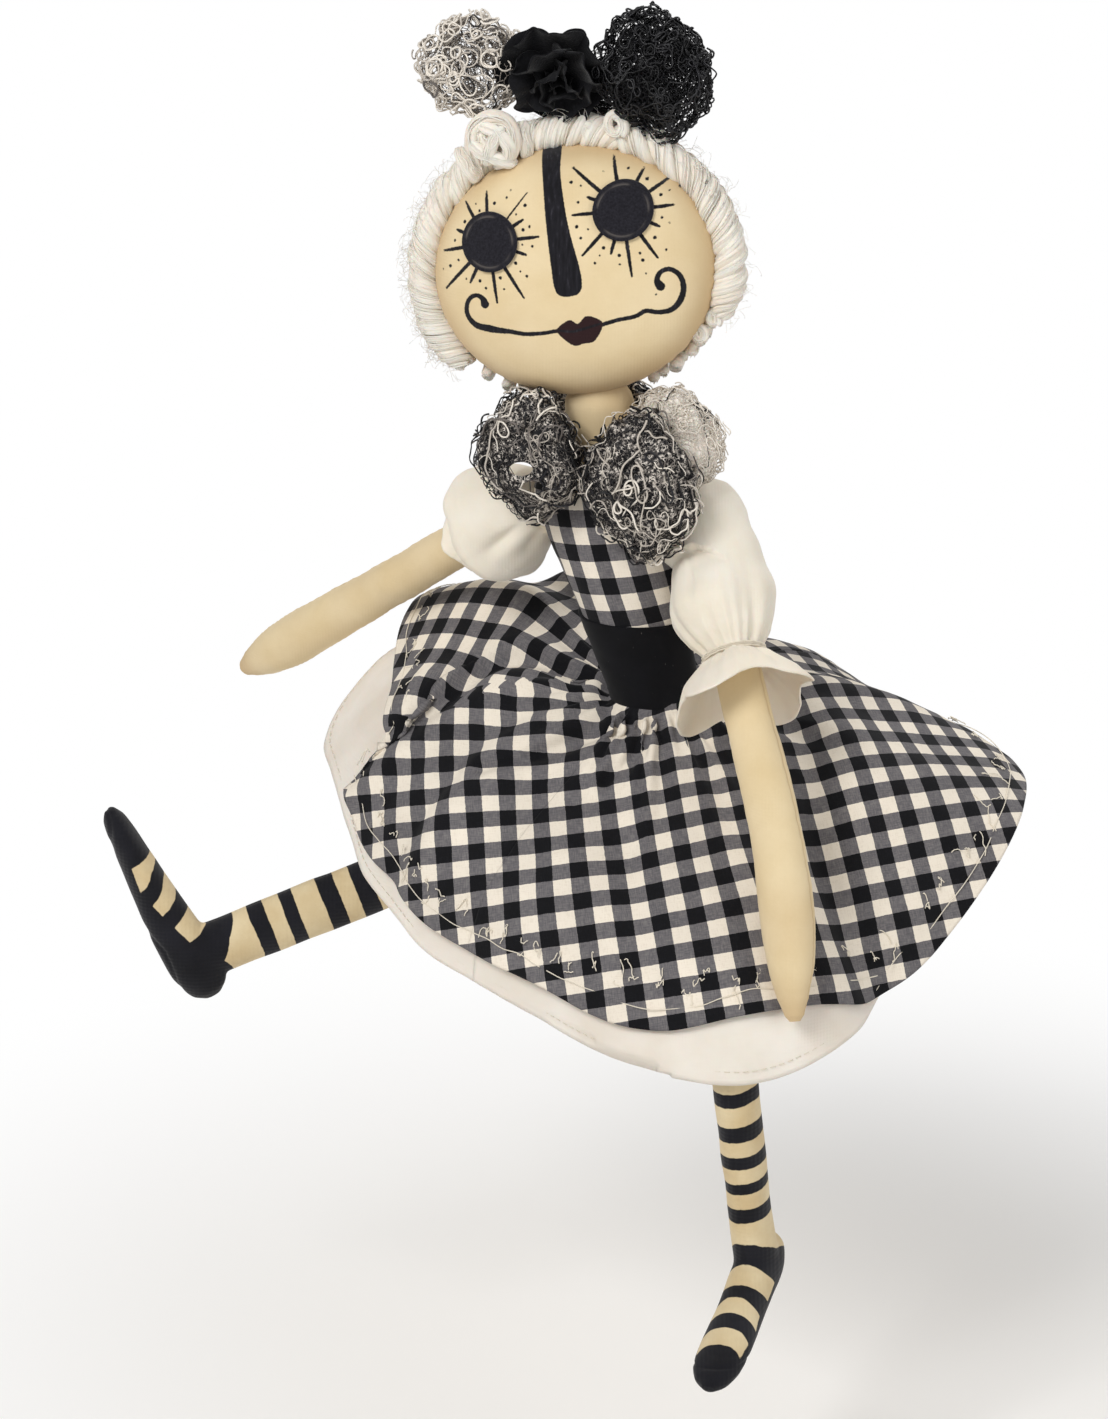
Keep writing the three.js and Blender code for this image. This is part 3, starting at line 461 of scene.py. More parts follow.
def add_node(tree, kind, inputs=(), out=0, stops=None, **settings):
    """Add a node with its settings, fill its sockets with values or links, and return one of its outputs."""
    made = tree.nodes.new("ShaderNode" + kind)
    for key, value in settings.items():
        setattr(made, key, value)
    for key, value in (inputs.items() if isinstance(inputs, dict) else enumerate(inputs)):
        if isinstance(value, bpy.types.NodeSocket):
            tree.links.new(value, made.inputs[key])
        else:
            made.inputs[key].default_value = value
    if stops:
        ramp = made.color_ramp
        while len(ramp.elements) < len(stops):
            ramp.elements.new(1.0)
        for element, (place, colour) in zip(ramp.elements, stops):
            element.position = place
            element.color = linear(colour)
    return made.outputs[out]


def new_material(name, roughness, sheen=0.0):
    """A cloth-like material, add_node for its tree, and its shader; the caller links colour and bump."""
    material = bpy.data.materials.new(name)
    material.use_nodes = True
    tree = material.node_tree
    shader = next(n for n in tree.nodes if n.type == "BSDF_PRINCIPLED")
    for key, value in (("Roughness", roughness), ("Specular IOR Level", 0.2), ("Sheen Weight", sheen),
                       ("Sheen Roughness", 0.5)):
        shader.inputs[key].default_value = value
    return material, partial(add_node, tree), shader


def finish_material(shader, colour, height, bump_mm):
    """Link a colour, and a height whose full range stands for bump_mm."""
    tree = shader.id_data
    normal = add_node(tree, "Bump", {"Height": height, "Strength": 1.0, "Distance": bump_mm * MM})
    tree.links.new(colour, shader.inputs["Base Color"])
    tree.links.new(normal, shader.inputs["Normal"])


# Finishes

def blotches(node, place, scale, detail, *stops):
    """Cloudy noise, and the colour that it gives by its stops."""
    cloud = node("TexNoise", {"Vector": place, "Scale": scale, "Detail": detail})
    return cloud, node("ValToRGB", (cloud,), stops=stops)


def weave_height(node, place, thread_mm):
    """Height of a plain weave: two sets of threads, crossing. The threads are drawn coarser than they are."""
    scale = 1 / (thread_mm * MM)
    warp, weft = (node("TexWave", {"Vector": place, "Scale": scale / 6.28, "Distortion": 0.6}, out=1,
                       wave_type="BANDS", bands_direction=way) for way in "XZ")
    return node("Math", (warp, weft), operation="ADD")


def tea_stained_muslin(name="tea_stained_muslin", painted=False):
    """Unbleached muslin dipped in tea: warm cream, blotchy, browner along seams and edges."""
    material, node, shader = new_material(name, 0.88, sheen=0.15)
    place = node("TexCoord", out=3)
    _, base = blotches(node, place, 45.0, 4.0, (0.3, "E1CBA0"), (0.7, "EAD7B1"))
    fine = node("TexNoise", {"Vector": place, "Scale": 900.0, "Detail": 2.0})
    speck = node("Math", (fine, 0.06), operation="MULTIPLY")
    browning = node("Attribute", out=2, attribute_name="browning")
    browning = node("Math", (browning, speck), operation="ADD", use_clamp=True)
    colour = node("Mix", {0: browning, 6: base, 7: linear("B08A58")}, out=2, data_type="RGBA")
    if painted:
        # Acrylic brushed on cloth: near black, thin at the edge of a stroke, streaked along it.
        edge = node("Attribute", out=2, attribute_name="paint")
        ragged = node("TexNoise", {"Vector": place, "Scale": 1400.0, "Detail": 3.0})
        edge = node("Math", (ragged, 0.5, edge), operation="MULTIPLY_ADD")
        cover = node("MapRange", (edge, 0.42, 0.18, 0.0, 1.0))
        streaks = node("VectorMath", (place, (900.0, 300.0, 160.0)), operation="MULTIPLY")
        _, ink = blotches(node, streaks, 1.0, 3.0, (0.35, "0F0E13"), (0.6, "1D1C22"), (0.72, "35333A"),
                          (0.85, "57545A"))
        lips = node("Attribute", out=2, attribute_name="lips")
        ink = node("Mix", {0: lips, 6: ink, 7: linear("2A1517")}, out=2, data_type="RGBA")
        colour = node("Mix", {0: cover, 6: colour, 7: ink}, out=2, data_type="RGBA")
    finish_material(shader, colour, weave_height(node, place, WEAVE), 0.02)
    return material


def striped_cotton():
    """Cream muslin legs with sewn and painted black bands; the band attribute is the distance to a band's edge."""
    material, node, shader = new_material("striped_cotton", 0.86, sheen=0.15)
    place = node("TexCoord", out=3)
    blotch, cream = blotches(node, place, 60.0, 4.0, (0.3, "CDB68C"), (0.7, "E0CFAA"))
    black = node("ValToRGB", (blotch,), stops=((0.3, "0E0E13"), (0.75, "1C1C23")))
    edge = node("Attribute", out=2, attribute_name="band")
    ragged = node("TexNoise", {"Vector": place, "Scale": 500.0, "Detail": 2.0})
    edge = node("Math", (ragged, 0.5, edge), operation="MULTIPLY_ADD")
    cover = node("MapRange", (edge, 0.4, 0.15, 0.0, 1.0))
    colour = node("Mix", {0: cover, 6: cream, 7: black}, out=2, data_type="RGBA")
    finish_material(shader, colour, weave_height(node, place, LEG_WEAVE), 0.05)
    return material


def woven_gingham(check):
    """Yarn-dyed gingham: black where two dark bands cross, grey where one does, cream elsewhere; uneven threads."""
    material, node, shader = new_material("woven_gingham", 0.85, sheen=0.06)
    cloth = node("UVMap", uv_map="cloth")
    place = node("VectorMath", (cloth, (0.5 / check, 0.5 / check, 1.0)), operation="MULTIPLY")
    wobble = node("TexNoise", {"Vector": place, "Scale": 9.0, "Detail": 2.0}, out=1)
    place = node("VectorMath", (wobble, (0.03, 0.03, 0.0), place), operation="MULTIPLY_ADD")
    dark, streaks = [], []
    for k, stretched in ((0, (4.0, 34.0, 1.0)), (1, (34.0, 4.0, 1.0))):
        direction = node("SeparateXYZ", (place,), out=k)
        phase = node("Math", (direction,), operation="FRACT")
        dark.append(node("Math", (phase, 0.5), operation="GREATER_THAN"))
        # Uneven threads, drawn 0.4 mm wide so that they show
        thread = node("VectorMath", (place, stretched), operation="MULTIPLY")
        streaks.append(node("TexNoise", {"Vector": thread, "Scale": 1.0, "Detail": 1.0}))
    both = node("Math", (dark[0], dark[1]), operation="ADD")
    uneven = node("Math", (streaks[0], streaks[1]), operation="ADD")
    uneven = node("MapRange", (uneven, 0.7, 1.3, -0.1, 0.1))
    both = node("Math", (both, 0.5, uneven), operation="MULTIPLY_ADD")
    colour = node("ValToRGB", (both,), stops=(
        (0.0, "F0E6D6"), (0.25, "D9CCB9"), (0.27, "918D89"), (0.5, "6B686A"),
        (0.73, "47454A"), (0.75, "1A1A20"), (1.0, "09090D")))
    fade = node("TexNoise", {"Vector": cloth, "Scale": 30.0, "Detail": 3.0})
    fade = node("MapRange", (fade, 0.3, 0.7, 0.92, 1.05))
    colour = node("VectorMath", {0: colour, 3: fade}, operation="SCALE")
    finish_material(shader, colour, uneven, 0.2)
    return material


def black_cotton():
    """Plain black cotton with a dusting of pale lint."""
    material, node, shader = new_material("black_cotton", 0.9, sheen=0.05)
    place = node("TexCoord", out=3)
    cloud, base = blotches(node, place, 70.0, 5.0, (0.3, "060609"), (0.75, "0F0F14"))
    stretched = node("VectorMath", (place, (1.0, 1.0, 0.4)), operation="MULTIPLY")
    lint = node("TexNoise", {"Vector": stretched, "Scale": 1300.0, "Detail": 1.0})
    lint = node("MapRange", (lint, 0.77, 0.83, 0.0, 0.35))
    colour = node("Mix", {0: lint, 6: base, 7: linear("8E8A86")}, out=2, data_type="RGBA")
    finish_material(shader, colour, cloud, 0.3)
    return material


def white_cotton(name, low, high):
    """Washed white cotton, slightly yellowed in blotches, with a plain weave."""
    material, node, shader = new_material(name, 0.85, sheen=0.2)
    shader.inputs["Subsurface Weight"].default_value = 0.08
    shader.inputs["Subsurface Scale"].default_value = 0.002
    place = node("TexCoord", out=3)
    _, colour = blotches(node, place, 35.0, 4.0, (0.3, low), (0.7, high))
    finish_material(shader, colour, weave_height(node, place, WEAVE), 0.02)
    return material


def wool_felt():
    """Pressed black wool felt: matt, with paler fibres and a faint ring of stitches near the rim."""
    material, node, shader = new_material("wool_felt", 0.95, sheen=0.12)
    place = node("TexCoord", out=3)
    fuzz, base = blotches(node, place, 1300.0, 5.0, (0.3, "15141A"), (0.75, "29282F"))
    ring = node("Attribute", out=2, attribute_name="ring")
    colour = node("Mix", {0: ring, 6: base, 7: linear("5A5552")}, out=2, data_type="RGBA")
    finish_material(shader, colour, fuzz, 0.25)
    return material


def wool_roving():
    """Combed ivory wool, drawn into soft hanks: fine fibres along each hank, a little shine."""
    material, node, shader = new_material("wool_roving", 0.7, sheen=0.3)
    shader.inputs["Subsurface Weight"].default_value = 0.12
    shader.inputs["Subsurface Scale"].default_value = 0.002
    laid = node("UVMap", uv_map="cloth")
    tone = node("Attribute", out=2, attribute_name="tone")
    # Fibres drawn 0.3 mm wide, coarser than they are, so that they show
    laid = node("VectorMath", (laid, (3400.0, 110.0, 1.0)), operation="MULTIPLY")
    fibre = node("TexNoise", {"Vector": laid, "Scale": 1.0, "Detail": 3.0})
    mixed = node("Math", (fibre, 0.55, tone), operation="MULTIPLY_ADD")
    colour = node("ValToRGB", (mixed,), stops=((0.3, "E0D0BB"), (0.62, "F1E7D9"), (1.0, "F8F1E6")))
    finish_material(shader, colour, fibre, 0.25)
    return material


def lurex_yarn():
    """Lace yarn with a metal thread: the tone attribute runs from black rayon to silver and ivory."""
    material, node, shader = new_material("lurex_yarn", 0.4)
    shader.inputs["Specular IOR Level"].default_value = 0.45
    tone = node("Attribute", out=2, attribute_name="tone")
    colour = node("ValToRGB", (tone,), stops=(
        (0.0, "08080C"), (0.3, "19181E"), (0.5, "726B66"), (0.75, "C4BBB0"), (1.0, "F1E9DD")))
    place = node("TexCoord", out=3)
    twist = node("TexNoise", {"Vector": place, "Scale": 2500.0, "Detail": 1.0})
    finish_material(shader, colour, twist, 0.15)
    return material


def lace_ground():
    """Close black lace: hair-thin silver threads between tiny black cells, in drifts."""
    material, node, shader = new_material("lace_ground", 0.5)
    place = node("TexCoord", out=3)
    drift = node("TexNoise", {"Vector": place, "Scale": 500.0, "Detail": 2.0}, out=1)
    bent = node("VectorMath", (drift, (0.0025, 0.0025, 0.0025), place), operation="MULTIPLY_ADD")
    cell = node("TexVoronoi", {"Vector": bent, "Scale": 1000.0}, feature="DISTANCE_TO_EDGE")
    patch = node("TexNoise", {"Vector": place, "Scale": 130.0, "Detail": 3.0})
    edge = node("MapRange", (patch, 0.35, 0.62, 0.03, 0.17))
    edge = node("Math", (cell, edge), operation="LESS_THAN")
    _, silver = blotches(node, place, 700.0, 2.0, (0.35, "1B1A1F"), (0.48, "6E6863"), (0.62, "DDD5CB"))
    colour = node("Mix", {0: edge, 6: linear("09090D"), 7: silver}, out=2, data_type="RGBA")
    finish_material(shader, colour, edge, 0.3)
    return material


def crepe():
    """Black crepe: a crinkled matt cloth with a slight sheen on its ridges."""
    material, node, shader = new_material("crepe", 0.85, sheen=0.1)
    place = node("TexCoord", out=3)
    crinkle = node("TexNoise", {"Vector": place, "Scale": 900.0, "Detail": 4.0, "Distortion": 0.6})
    colour = node("ValToRGB", (crinkle,), stops=((0.3, "050508"), (0.75, "131318")))
    finish_material(shader, colour, crinkle, 0.35)
    return material


def cotton_thread():
    """Cream sewing thread, slightly glossy."""
    material, node, shader = new_material("cotton_thread", 0.6, sheen=0.2)
    tone = node("Attribute", out=2, attribute_name="tone")
    colour = node("ValToRGB", (tone,), stops=((0.0, "8C7B5F"), (1.0, "EDE4D2")))
    finish_material(shader, colour, tone, 0.02)
    return material


# Body shapes shared by several pieces

def turn_matrix(yaw, nod, tilt):
    """The head's turn: yaw about Z, nod about X, tilt about Y."""
    z, x, y = (math.radians(-a) for a in (yaw, nod, tilt))
    about_z = np.array(((math.cos(z), -math.sin(z), 0), (math.sin(z), math.cos(z), 0), (0, 0, 1)))
    about_x = np.array(((1, 0, 0), (0, math.cos(x), -math.sin(x)), (0, math.sin(x), math.cos(x))))
    about_y = np.array(((math.cos(y), 0, math.sin(y)), (0, 1, 0), (-math.sin(y), 0, math.cos(y))))
    return about_z @ about_x @ about_y


HEAD_TURN = turn_matrix(HEAD_YAW, HEAD_NOD, HEAD_TILT)
HEAD_RIGHT, HEAD_FRONT, HEAD_UP = HEAD_TURN[:, 0], -HEAD_TURN[:, 1], HEAD_TURN[:, 2]
HEAD_CENTRE = np.array((NECK[0] + HEAD_SHIFT, 0, NECK[2] + HEAD_RISE))
HEAD_AXES = np.array((HEAD_RIGHT, HEAD_UP, HEAD_FRONT))
BODY_AXES = np.array((LEFT, UP, FRONT))


def on_head(across, rise, forward):
    """A place by its distance across, up and forward from the middle of the head."""
    return HEAD_CENTRE + np.stack(np.broadcast_arrays(across, rise, forward), axis=-1) @ HEAD_AXES


def pillow(angle, latitude, grow):
    """A point of the head: angle round the face, latitude from the front (90) to the back (-90), in degrees."""
    a, lat = np.radians(angle), np.radians(latitude)
    reach = np.maximum(0, np.cos(lat)) ** (2 / PILLOW)
    depth = np.sign(np.sin(lat)) * np.abs(np.sin(lat)) ** (2 / PILLOW)
    half = [size + grow for size in HEAD_HALF]
    return on_head(half[0] * np.cos(a) * reach, half[1] * np.sin(a) * reach, half[2] * depth)


def face_depth(across, rise):
    """How far the face stands out at a place across and up from the middle of the head."""
    share = np.hypot(across / HEAD_HALF[0], rise / HEAD_HALF[1])
    return HEAD_HALF[2] * (1 - np.minimum(1, share) ** PILLOW) ** (1 / PILLOW)


def torso_ring(height, angles, grow):
    """A ring round the body at a height."""
    x, y, a, b = between(SPINE, height)
    return oval(np.array((x, y, height)), LEFT, FRONT, a + grow, b + grow, angles)


def limb(curve, shape, front, sides, steps):
    """Rings along a curve, shape(t) giving half width and half depth, depth lying towards front."""
    rings = []
    for i in range(steps + 1):
        t = (1 - math.cos(math.pi * i / steps)) / 2
        _, width, depth = curve.across(t * curve.length, front)
        rings.append(oval(curve.at(t * curve.length), width, depth, *shape(t), side_angles(sides)))
    return np.array(rings)


SHOULDERS = {"left": np.array((-15.6, -8, 172.5)), "right": np.array((-82, 13, 169.5))}


def arm_curve(side):
    seam = SHOULDERS[side]
    if side == "right":
        direction = aim(136, -32)
        return Curve([seam + direction * d for d in (-ARM_BALL, 0, ARM_LENGTH / 2, ARM_LENGTH)])
    points = [seam - aim(-16, -47.6) * ARM_BALL, seam]
    share = 0
    for azimuth, elevation, until in ARM_BENDS_LEFT:
        points.append(points[-1] + aim(azimuth, elevation) * ARM_LENGTH * (until - share))
        share = until
    return Curve(points)


LEGS = {
    "left": {"side": 1, "thigh": aim(15.8, -7), "shin": aim(-82, -83), "toe": aim(18, -16)},
    "right": {"side": -1, "thigh": aim(86, 6), "shin": aim(79, -18.8), "toe": aim(93, 63)},
}
for leg in LEGS.values():
    leg["hip"] = np.array((0, 0, HIP_HEIGHT)) + LEFT * leg["side"] * HIP_SPACING / 2 + leg["thigh"] * HIP_REACH
    leg["knee"] = leg["hip"] + leg["thigh"] * THIGH_LENGTH


WAIST = np.array((SPINE[6][1], SPINE[6][2], WAIST_HEIGHT), float)
FULL_DRAPE = [(row[0] + turn, *row[1:]) for turn in (-360, 0, 360) for row in DRAPE]
DRAPE_TURN = np.arange(-180, 180.5, 0.5)
DRAPE_FINE = np.array([between(FULL_DRAPE, a) for a in DRAPE_TURN])


def drape_row(azimuth):
    """The drape table read at azimuths."""
    return [np.interp(wrap(azimuth), DRAPE_TURN, DRAPE_FINE[:, k]) for k in range(5)]


def drape(azimuth, t, lift):
    """A point of the drape: share t of the way from waist to petticoat hem, lifted along the profile's normal."""
    reach, height, bell, _, low = drape_row(azimuth)
    out, fall = reach - WAIST_RADIUS, height - WAIST_HEIGHT
    chord = np.hypot(out, fall)
    bow = t ** (0.85 * low)
    rise = bell * 4 * bow * (1 - bow) + lift
    radius = WAIST_RADIUS + out * t - fall / chord * rise
    z = WAIST_HEIGHT + fall * t + out / chord * rise
    a = np.radians(azimuth)
    return np.stack([WAIST[0] - np.sin(a) * radius, WAIST[1] - np.cos(a) * radius, z], axis=-1)


def fold_height(azimuth, t):
    height = 0
    for middle, width, rise, start, stop in FOLDS:
        near = bump(wrap(azimuth - middle), width)
        fades = 1 if stop > 1 else smooth((stop + 0.3 - t) / 0.3)
        height = height + rise * near * smooth((t - start) / 0.3) * fades
    return height


def gathers(azimuth, t, count, height, seed):
    """Small folds that run down from the gathered waist and die away, uneven in height and spacing."""
    a = np.radians(azimuth)
    ring = circle(a)
    uneven = 1 + 0.6 * value_noise(ring, 0.22, seed)
    phase = count * a + 2.2 * value_noise(ring, 0.35, seed + 1)
    return height * uneven * np.sin(phase) * np.exp(-t * 5.5) * smooth(t / 0.03)


# The front of the skirt folds over its side: the fold's edge (share, azimuth), and how far down the hem behind it
# shows (azimuth, share)
LAPPED = ((0.4, 118), (0.51, 109), (0.6, 98.5), (0.72, 96.5), (0.9, 97.5), (1, 98))
LAPPED_HEM = ((92, 1), (96.5, 1), (99.5, 0.79), (106.5, 0.82), (120, 0.94), (131, 1.01), (140, 1))


def skirt_point(azimuth, t, fine=True):
    share = drape_row(azimuth)[3]
    turned = wrap(azimuth)
    t = t * read_line(LAPPED_HEM, turned)
    past = turned - read_line(LAPPED, t)
    lapped = smooth((t - 0.4) / 0.2) * np.where(past > 0, -5 * np.exp(-np.abs(past) / 7) * smooth(past / 2),
                                                1.5 * np.exp(-np.abs(past) / 8))
    lift = mix(LAYER_LIFT, SKIRT_LIFT, np.minimum(1, 4 * t)) + fold_height(azimuth, t) + lapped
    if fine:
        lift = lift + gathers(azimuth, t, 34, 1.5, 3) + gathers(azimuth, t * 0.4, 11, 1.3, 5)
    return drape(azimuth, t * share, lift)


def petticoat_point(azimuth, t):
    return drape(azimuth, t, gathers(azimuth, t, 30, 0.3, 9) - PETTICOAT_DROP)


def declare(piece, body, nodes):
    """A piece rides on its body, when it is given one, and stands for solids, which are hidden."""
    if body:
        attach(piece, body)
    if nodes:
        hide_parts(*nodes)


# Add-on

class DollSettings(bpy.types.PropertyGroup):
    """Sizes and colours that a user would change."""
    check: bpy.props.FloatProperty(name="Check", description="Width of one gingham check", default=0.00635,
                                   min=0.002, max=0.03, unit="LENGTH")
    yarn: bpy.props.FloatProperty(name="Lace yarn", description="Radius of the lace yarn", default=0.00034,
                                  min=0.0001, max=0.002, unit="LENGTH")
    lace_share: bpy.props.FloatProperty(name="Lace density", description="How densely the lace is worked",
                                        default=1.0, min=0.1, max=2.0, subtype="FACTOR")
    background: bpy.props.FloatVectorProperty(name="Background", description="Colour behind the doll",
                                              default=(1.0, 1.0, 1.0), min=0.0, max=1.0, subtype="COLOR")


class DOLL_OT_stage(bpy.types.Operator):
    """Floor, soft lights, white background and the camera at the photograph's angle."""
    bl_idname = "doll.stage"
    bl_label = "Stage and camera"

    def execute(self, context):
        scene = context.scene
        scene.view_settings.view_transform = "Standard"
        deselect()
        bpy.ops.object.camera_add(location=CAMERA_PLACE, rotation=(math.radians(CAMERA_PITCH), 0, 0))
        camera = context.active_object
        camera.data.lens = CAMERA_LENS
        camera.data.sensor_width = CAMERA_SENSOR
        camera.data.sensor_height = CAMERA_SENSOR
        camera.data.sensor_fit = "VERTICAL"
        scene.camera = camera
        bpy.ops.mesh.primitive_plane_add(size=FLOOR_SIZE, location=(0, 0, FLOOR_HEIGHT))
        floor = context.active_object
        floor.name = "floor"
        material, node, shader = new_material("studio_floor", 0.95)
        shader.inputs["Base Color"].default_value = linear("F4F2EF")
        # Away from the doll the paper sweep turns into the plain background, so that it has no horizon
        place = node("TexCoord", out=3)
        away = node("VectorMath", (place,), out=1, operation="LENGTH")
        away = node("MapRange", (away, 0.12, 0.5, 0.0, 1.0), interpolation_type="SMOOTHSTEP")
        background = (*scene.doll.background, 1.0)
        plain = node("Emission", (background, 1.0))
        seen = node("LightPath", out=0)
        away = node("Math", (away, seen), operation="MULTIPLY")
        show(shader.id_data, node("MixShader", (away, shader.outputs[0], plain)))
        floor.data.materials.append(material)
        for name, (place, size, power) in LIGHTS.items():
            bpy.ops.object.light_add(type="AREA", location=place)
            light = context.active_object
            light.name = name
            light.data.size = size
            light.data.energy = power
            direction = Vector(LIGHT_AIM) - Vector(place)
            light.rotation_euler = direction.to_track_quat("-Z", "Y").to_euler()
        world = bpy.data.worlds.new("studio")
        scene.world = world
        world.use_nodes = True
        node = partial(add_node, world.node_tree)
        seen = node("Background", (background, 1.0))
        soft = node("Background", ((1.0, 1.0, 1.0, 1.0), DAYLIGHT))
        ray = node("LightPath", out=0)
        show(world.node_tree, node("MixShader", (ray, soft, seen)))
        return {"FINISHED"}


class DOLL_OT_torso(bpy.types.Operator):
    """The stuffed muslin body and neck under the dress."""
    bl_idname = "doll.torso"
    bl_label = "Body"

    def execute(self, context):
        angles = side_angles(64)
        heights = np.concatenate([np.linspace(0, 12, 8), np.linspace(15, NECK[2], 70)])
        rings = [torso_ring(h, angles, 0) for h in heights]
        x, y, a, b = SPINE[-1][1:]
        for angle in range(10, 86, 15):
            share = math.cos(math.radians(angle))
            centre = np.array((x, y, NECK[2] + NECK_DOME * math.sin(math.radians(angle))))
            rings.append(oval(centre, LEFT, FRONT, a * share, b * share, angles))
        points, faces = closed_loft(np.array(rings))
        browning = 0.25 + 0.3 * value_noise(points, 14, 2)
        piece = new_piece("stuffed_body", points, faces, [tea_stained_muslin()], values={"browning": browning})
        declare(piece, "body", ["torso"])
        return {"FINISHED"}


# Face paint, in millimetres across and up from the middle of the face.
# Rays and dots: angle and distance from the middle of their eye.
RAYS = {
    "right": ((90, 17.9), (121, 17.5), (158, 14.2), (-174, 19.6), (-142, 25.5), (-124, 17.2), (-90, 22.4), (-64, 24),
              (-24, 15), (0, 19.1), (26, 15.4), (45, 23)),
    "left": ((135, 24.4), (98, 19.6), (60, 15.8), (28, 20.1), (-3, 17.7), (-32, 14.6), (-61, 21.5), (-89, 24.1),
             (-112, 16.2), (-139, 21.8), (178, 18.6), (153, 14.2)),
}
DOTS = {
    "right": ((61, 19.7), (62, 16.8), (77, 13.7), (108, 14.4), (105, 11.6), (38, 18.7), (38, 14.1), (14, 16.2),
              (13, 13.6), (-10, 12.5), (-11, 16.3), (-43, 12.4), (-48, 15.6), (-47, 18.5), (-79, 13.4), (-79, 17.7),
              (-102, 16.8), (-112, 14.6), (-131, 16.5), (-157, 14.2), (-156, 18.4), (-157, 21.9), (174, 14),
              (140, 12.1)),
    "left": ((113, 15.5), (80, 14.3), (146, 21.5), (144, 17.7), (163, 16.4), (-168, 17.4), (-159, 14), (-154, 17.8),
             (-124, 14.8), (-124, 17.8), (-125, 21), (-101, 15.9), (-100, 19.1), (-75, 16.4), (-75, 19.1), (-77, 24),
             (-50, 20.9), (-48, 15), (-24, 16.9), (-19, 13.8), (14, 13.6), (15, 16.6), (14, 19.8), (47, 12.9),
             (-76, 32.4)),
}
# Outlines, across and up, and brush strokes: across, up, half width.
NOSE = ((-5.4, 46.5), (-4.6, 35.7), (-4.5, 20), (-4.5, 4), (-4.4, -2.8), (-3.4, -5.9), (-0.8, -7), (1.8, -7),
        (4.3, -6.3), (5.6, -4), (5.9, 0.3), (5.2, 6.3), (3.5, 17.5), (2.5, 28.4), (1.9, 36), (1.1, 46.5))
MOUTH_RIGHT = ((-31.4, -6.6, 1.6), (-31.9, -4.6, 1), (-34.2, -3.2, 0.75), (-37, -4.2, 0.8), (-38.8, -7, 0.85),
               (-38.9, -10.6, 0.95), (-36.4, -14.1, 1.15), (-31, -15.9, 1.35), (-27.5, -16.8, 1.1),
               (-23.8, -17.5, 0.85), (-18, -19, 0.75), (-12, -19.4, 0.7), (-6, -19.1, 0.7))
MOUTH_LEFT = ((10, -18.9, 0.7), (16.7, -17.8, 0.7), (23.1, -17.3, 0.75), (26.9, -15.9, 0.8), (30.8, -17, 0.8),
              (35.4, -17, 0.95), (38.9, -14.4, 1.05), (41, -9.3, 0.95), (40.2, -4.8, 0.85), (37.1, -2.1, 0.8),
              (33.9, -2.8, 0.8), (32.4, -5.6, 1), (33.3, -7.8, 1.6))
LIPS = ((-6.4, -18.9), (-3.4, -16.7), (-0.4, -15.7), (2.1, -17.4), (5.4, -15), (8.6, -15.9), (11, -18), (9.6, -21.5),
        (6.4, -24.7), (3, -24.9), (-0.2, -25.4), (-3.4, -23.1))


def segment_distance(place, start, stop):
    """Distance from places to a straight line between two ends, and the share along it that is nearest."""
    step = stop - start
    t = np.clip((place - start) @ step / max(step @ step, 1e-9), 0, 1)
    return np.linalg.norm(place - start - t[:, None] * step, axis=1), t


def face_way(angle):
    """A direction on the face by its angle in degrees."""
    return np.array((math.cos(math.radians(angle)), math.sin(math.radians(angle))))


def stroke_distance(place, rows):
    """Distance in millimetres from places on the face to the edge of a brush stroke, minus inside it."""
    curve = Curve([np.array((x, y, 0.0)) for x, y, _ in rows], samples=6).line
    shares = np.linspace(0, len(rows) - 1, len(curve))
    widths = np.interp(shares, np.arange(len(rows)), [row[2] for row in rows])
    nearest = np.full(len(place), 1e3)
    for start, stop, w0, w1 in zip(curve[:-1, :2], curve[1:, :2], widths, widths[1:]):
        gap, t = segment_distance(place, start, stop)
        nearest = np.minimum(nearest, gap - mix(w0, w1, t))
    return nearest


def polygon_distance(place, corners, samples=5):
    """Distance from places to the edge of a closed outline, minus inside it; 1 sample leaves its sides straight."""
    line = Curve([np.array((x, y, 0.0)) for x, y in (*corners, corners[0])], samples=samples).line[:, :2]
    nearest = np.full(len(place), 1e3)
    inside = np.zeros(len(place), bool)
    for start, stop in zip(line, line[1:]):
        step = stop - start
        nearest = np.minimum(nearest, segment_distance(place, start, stop)[0])
        crosses = (start[1] > place[:, 1]) != (stop[1] > place[:, 1])
        if step[1] != 0:
            inside ^= crosses & (place[:, 0] < start[0] + (place[:, 1] - start[1]) * step[0] / step[1])
    return np.where(inside, -nearest, nearest)


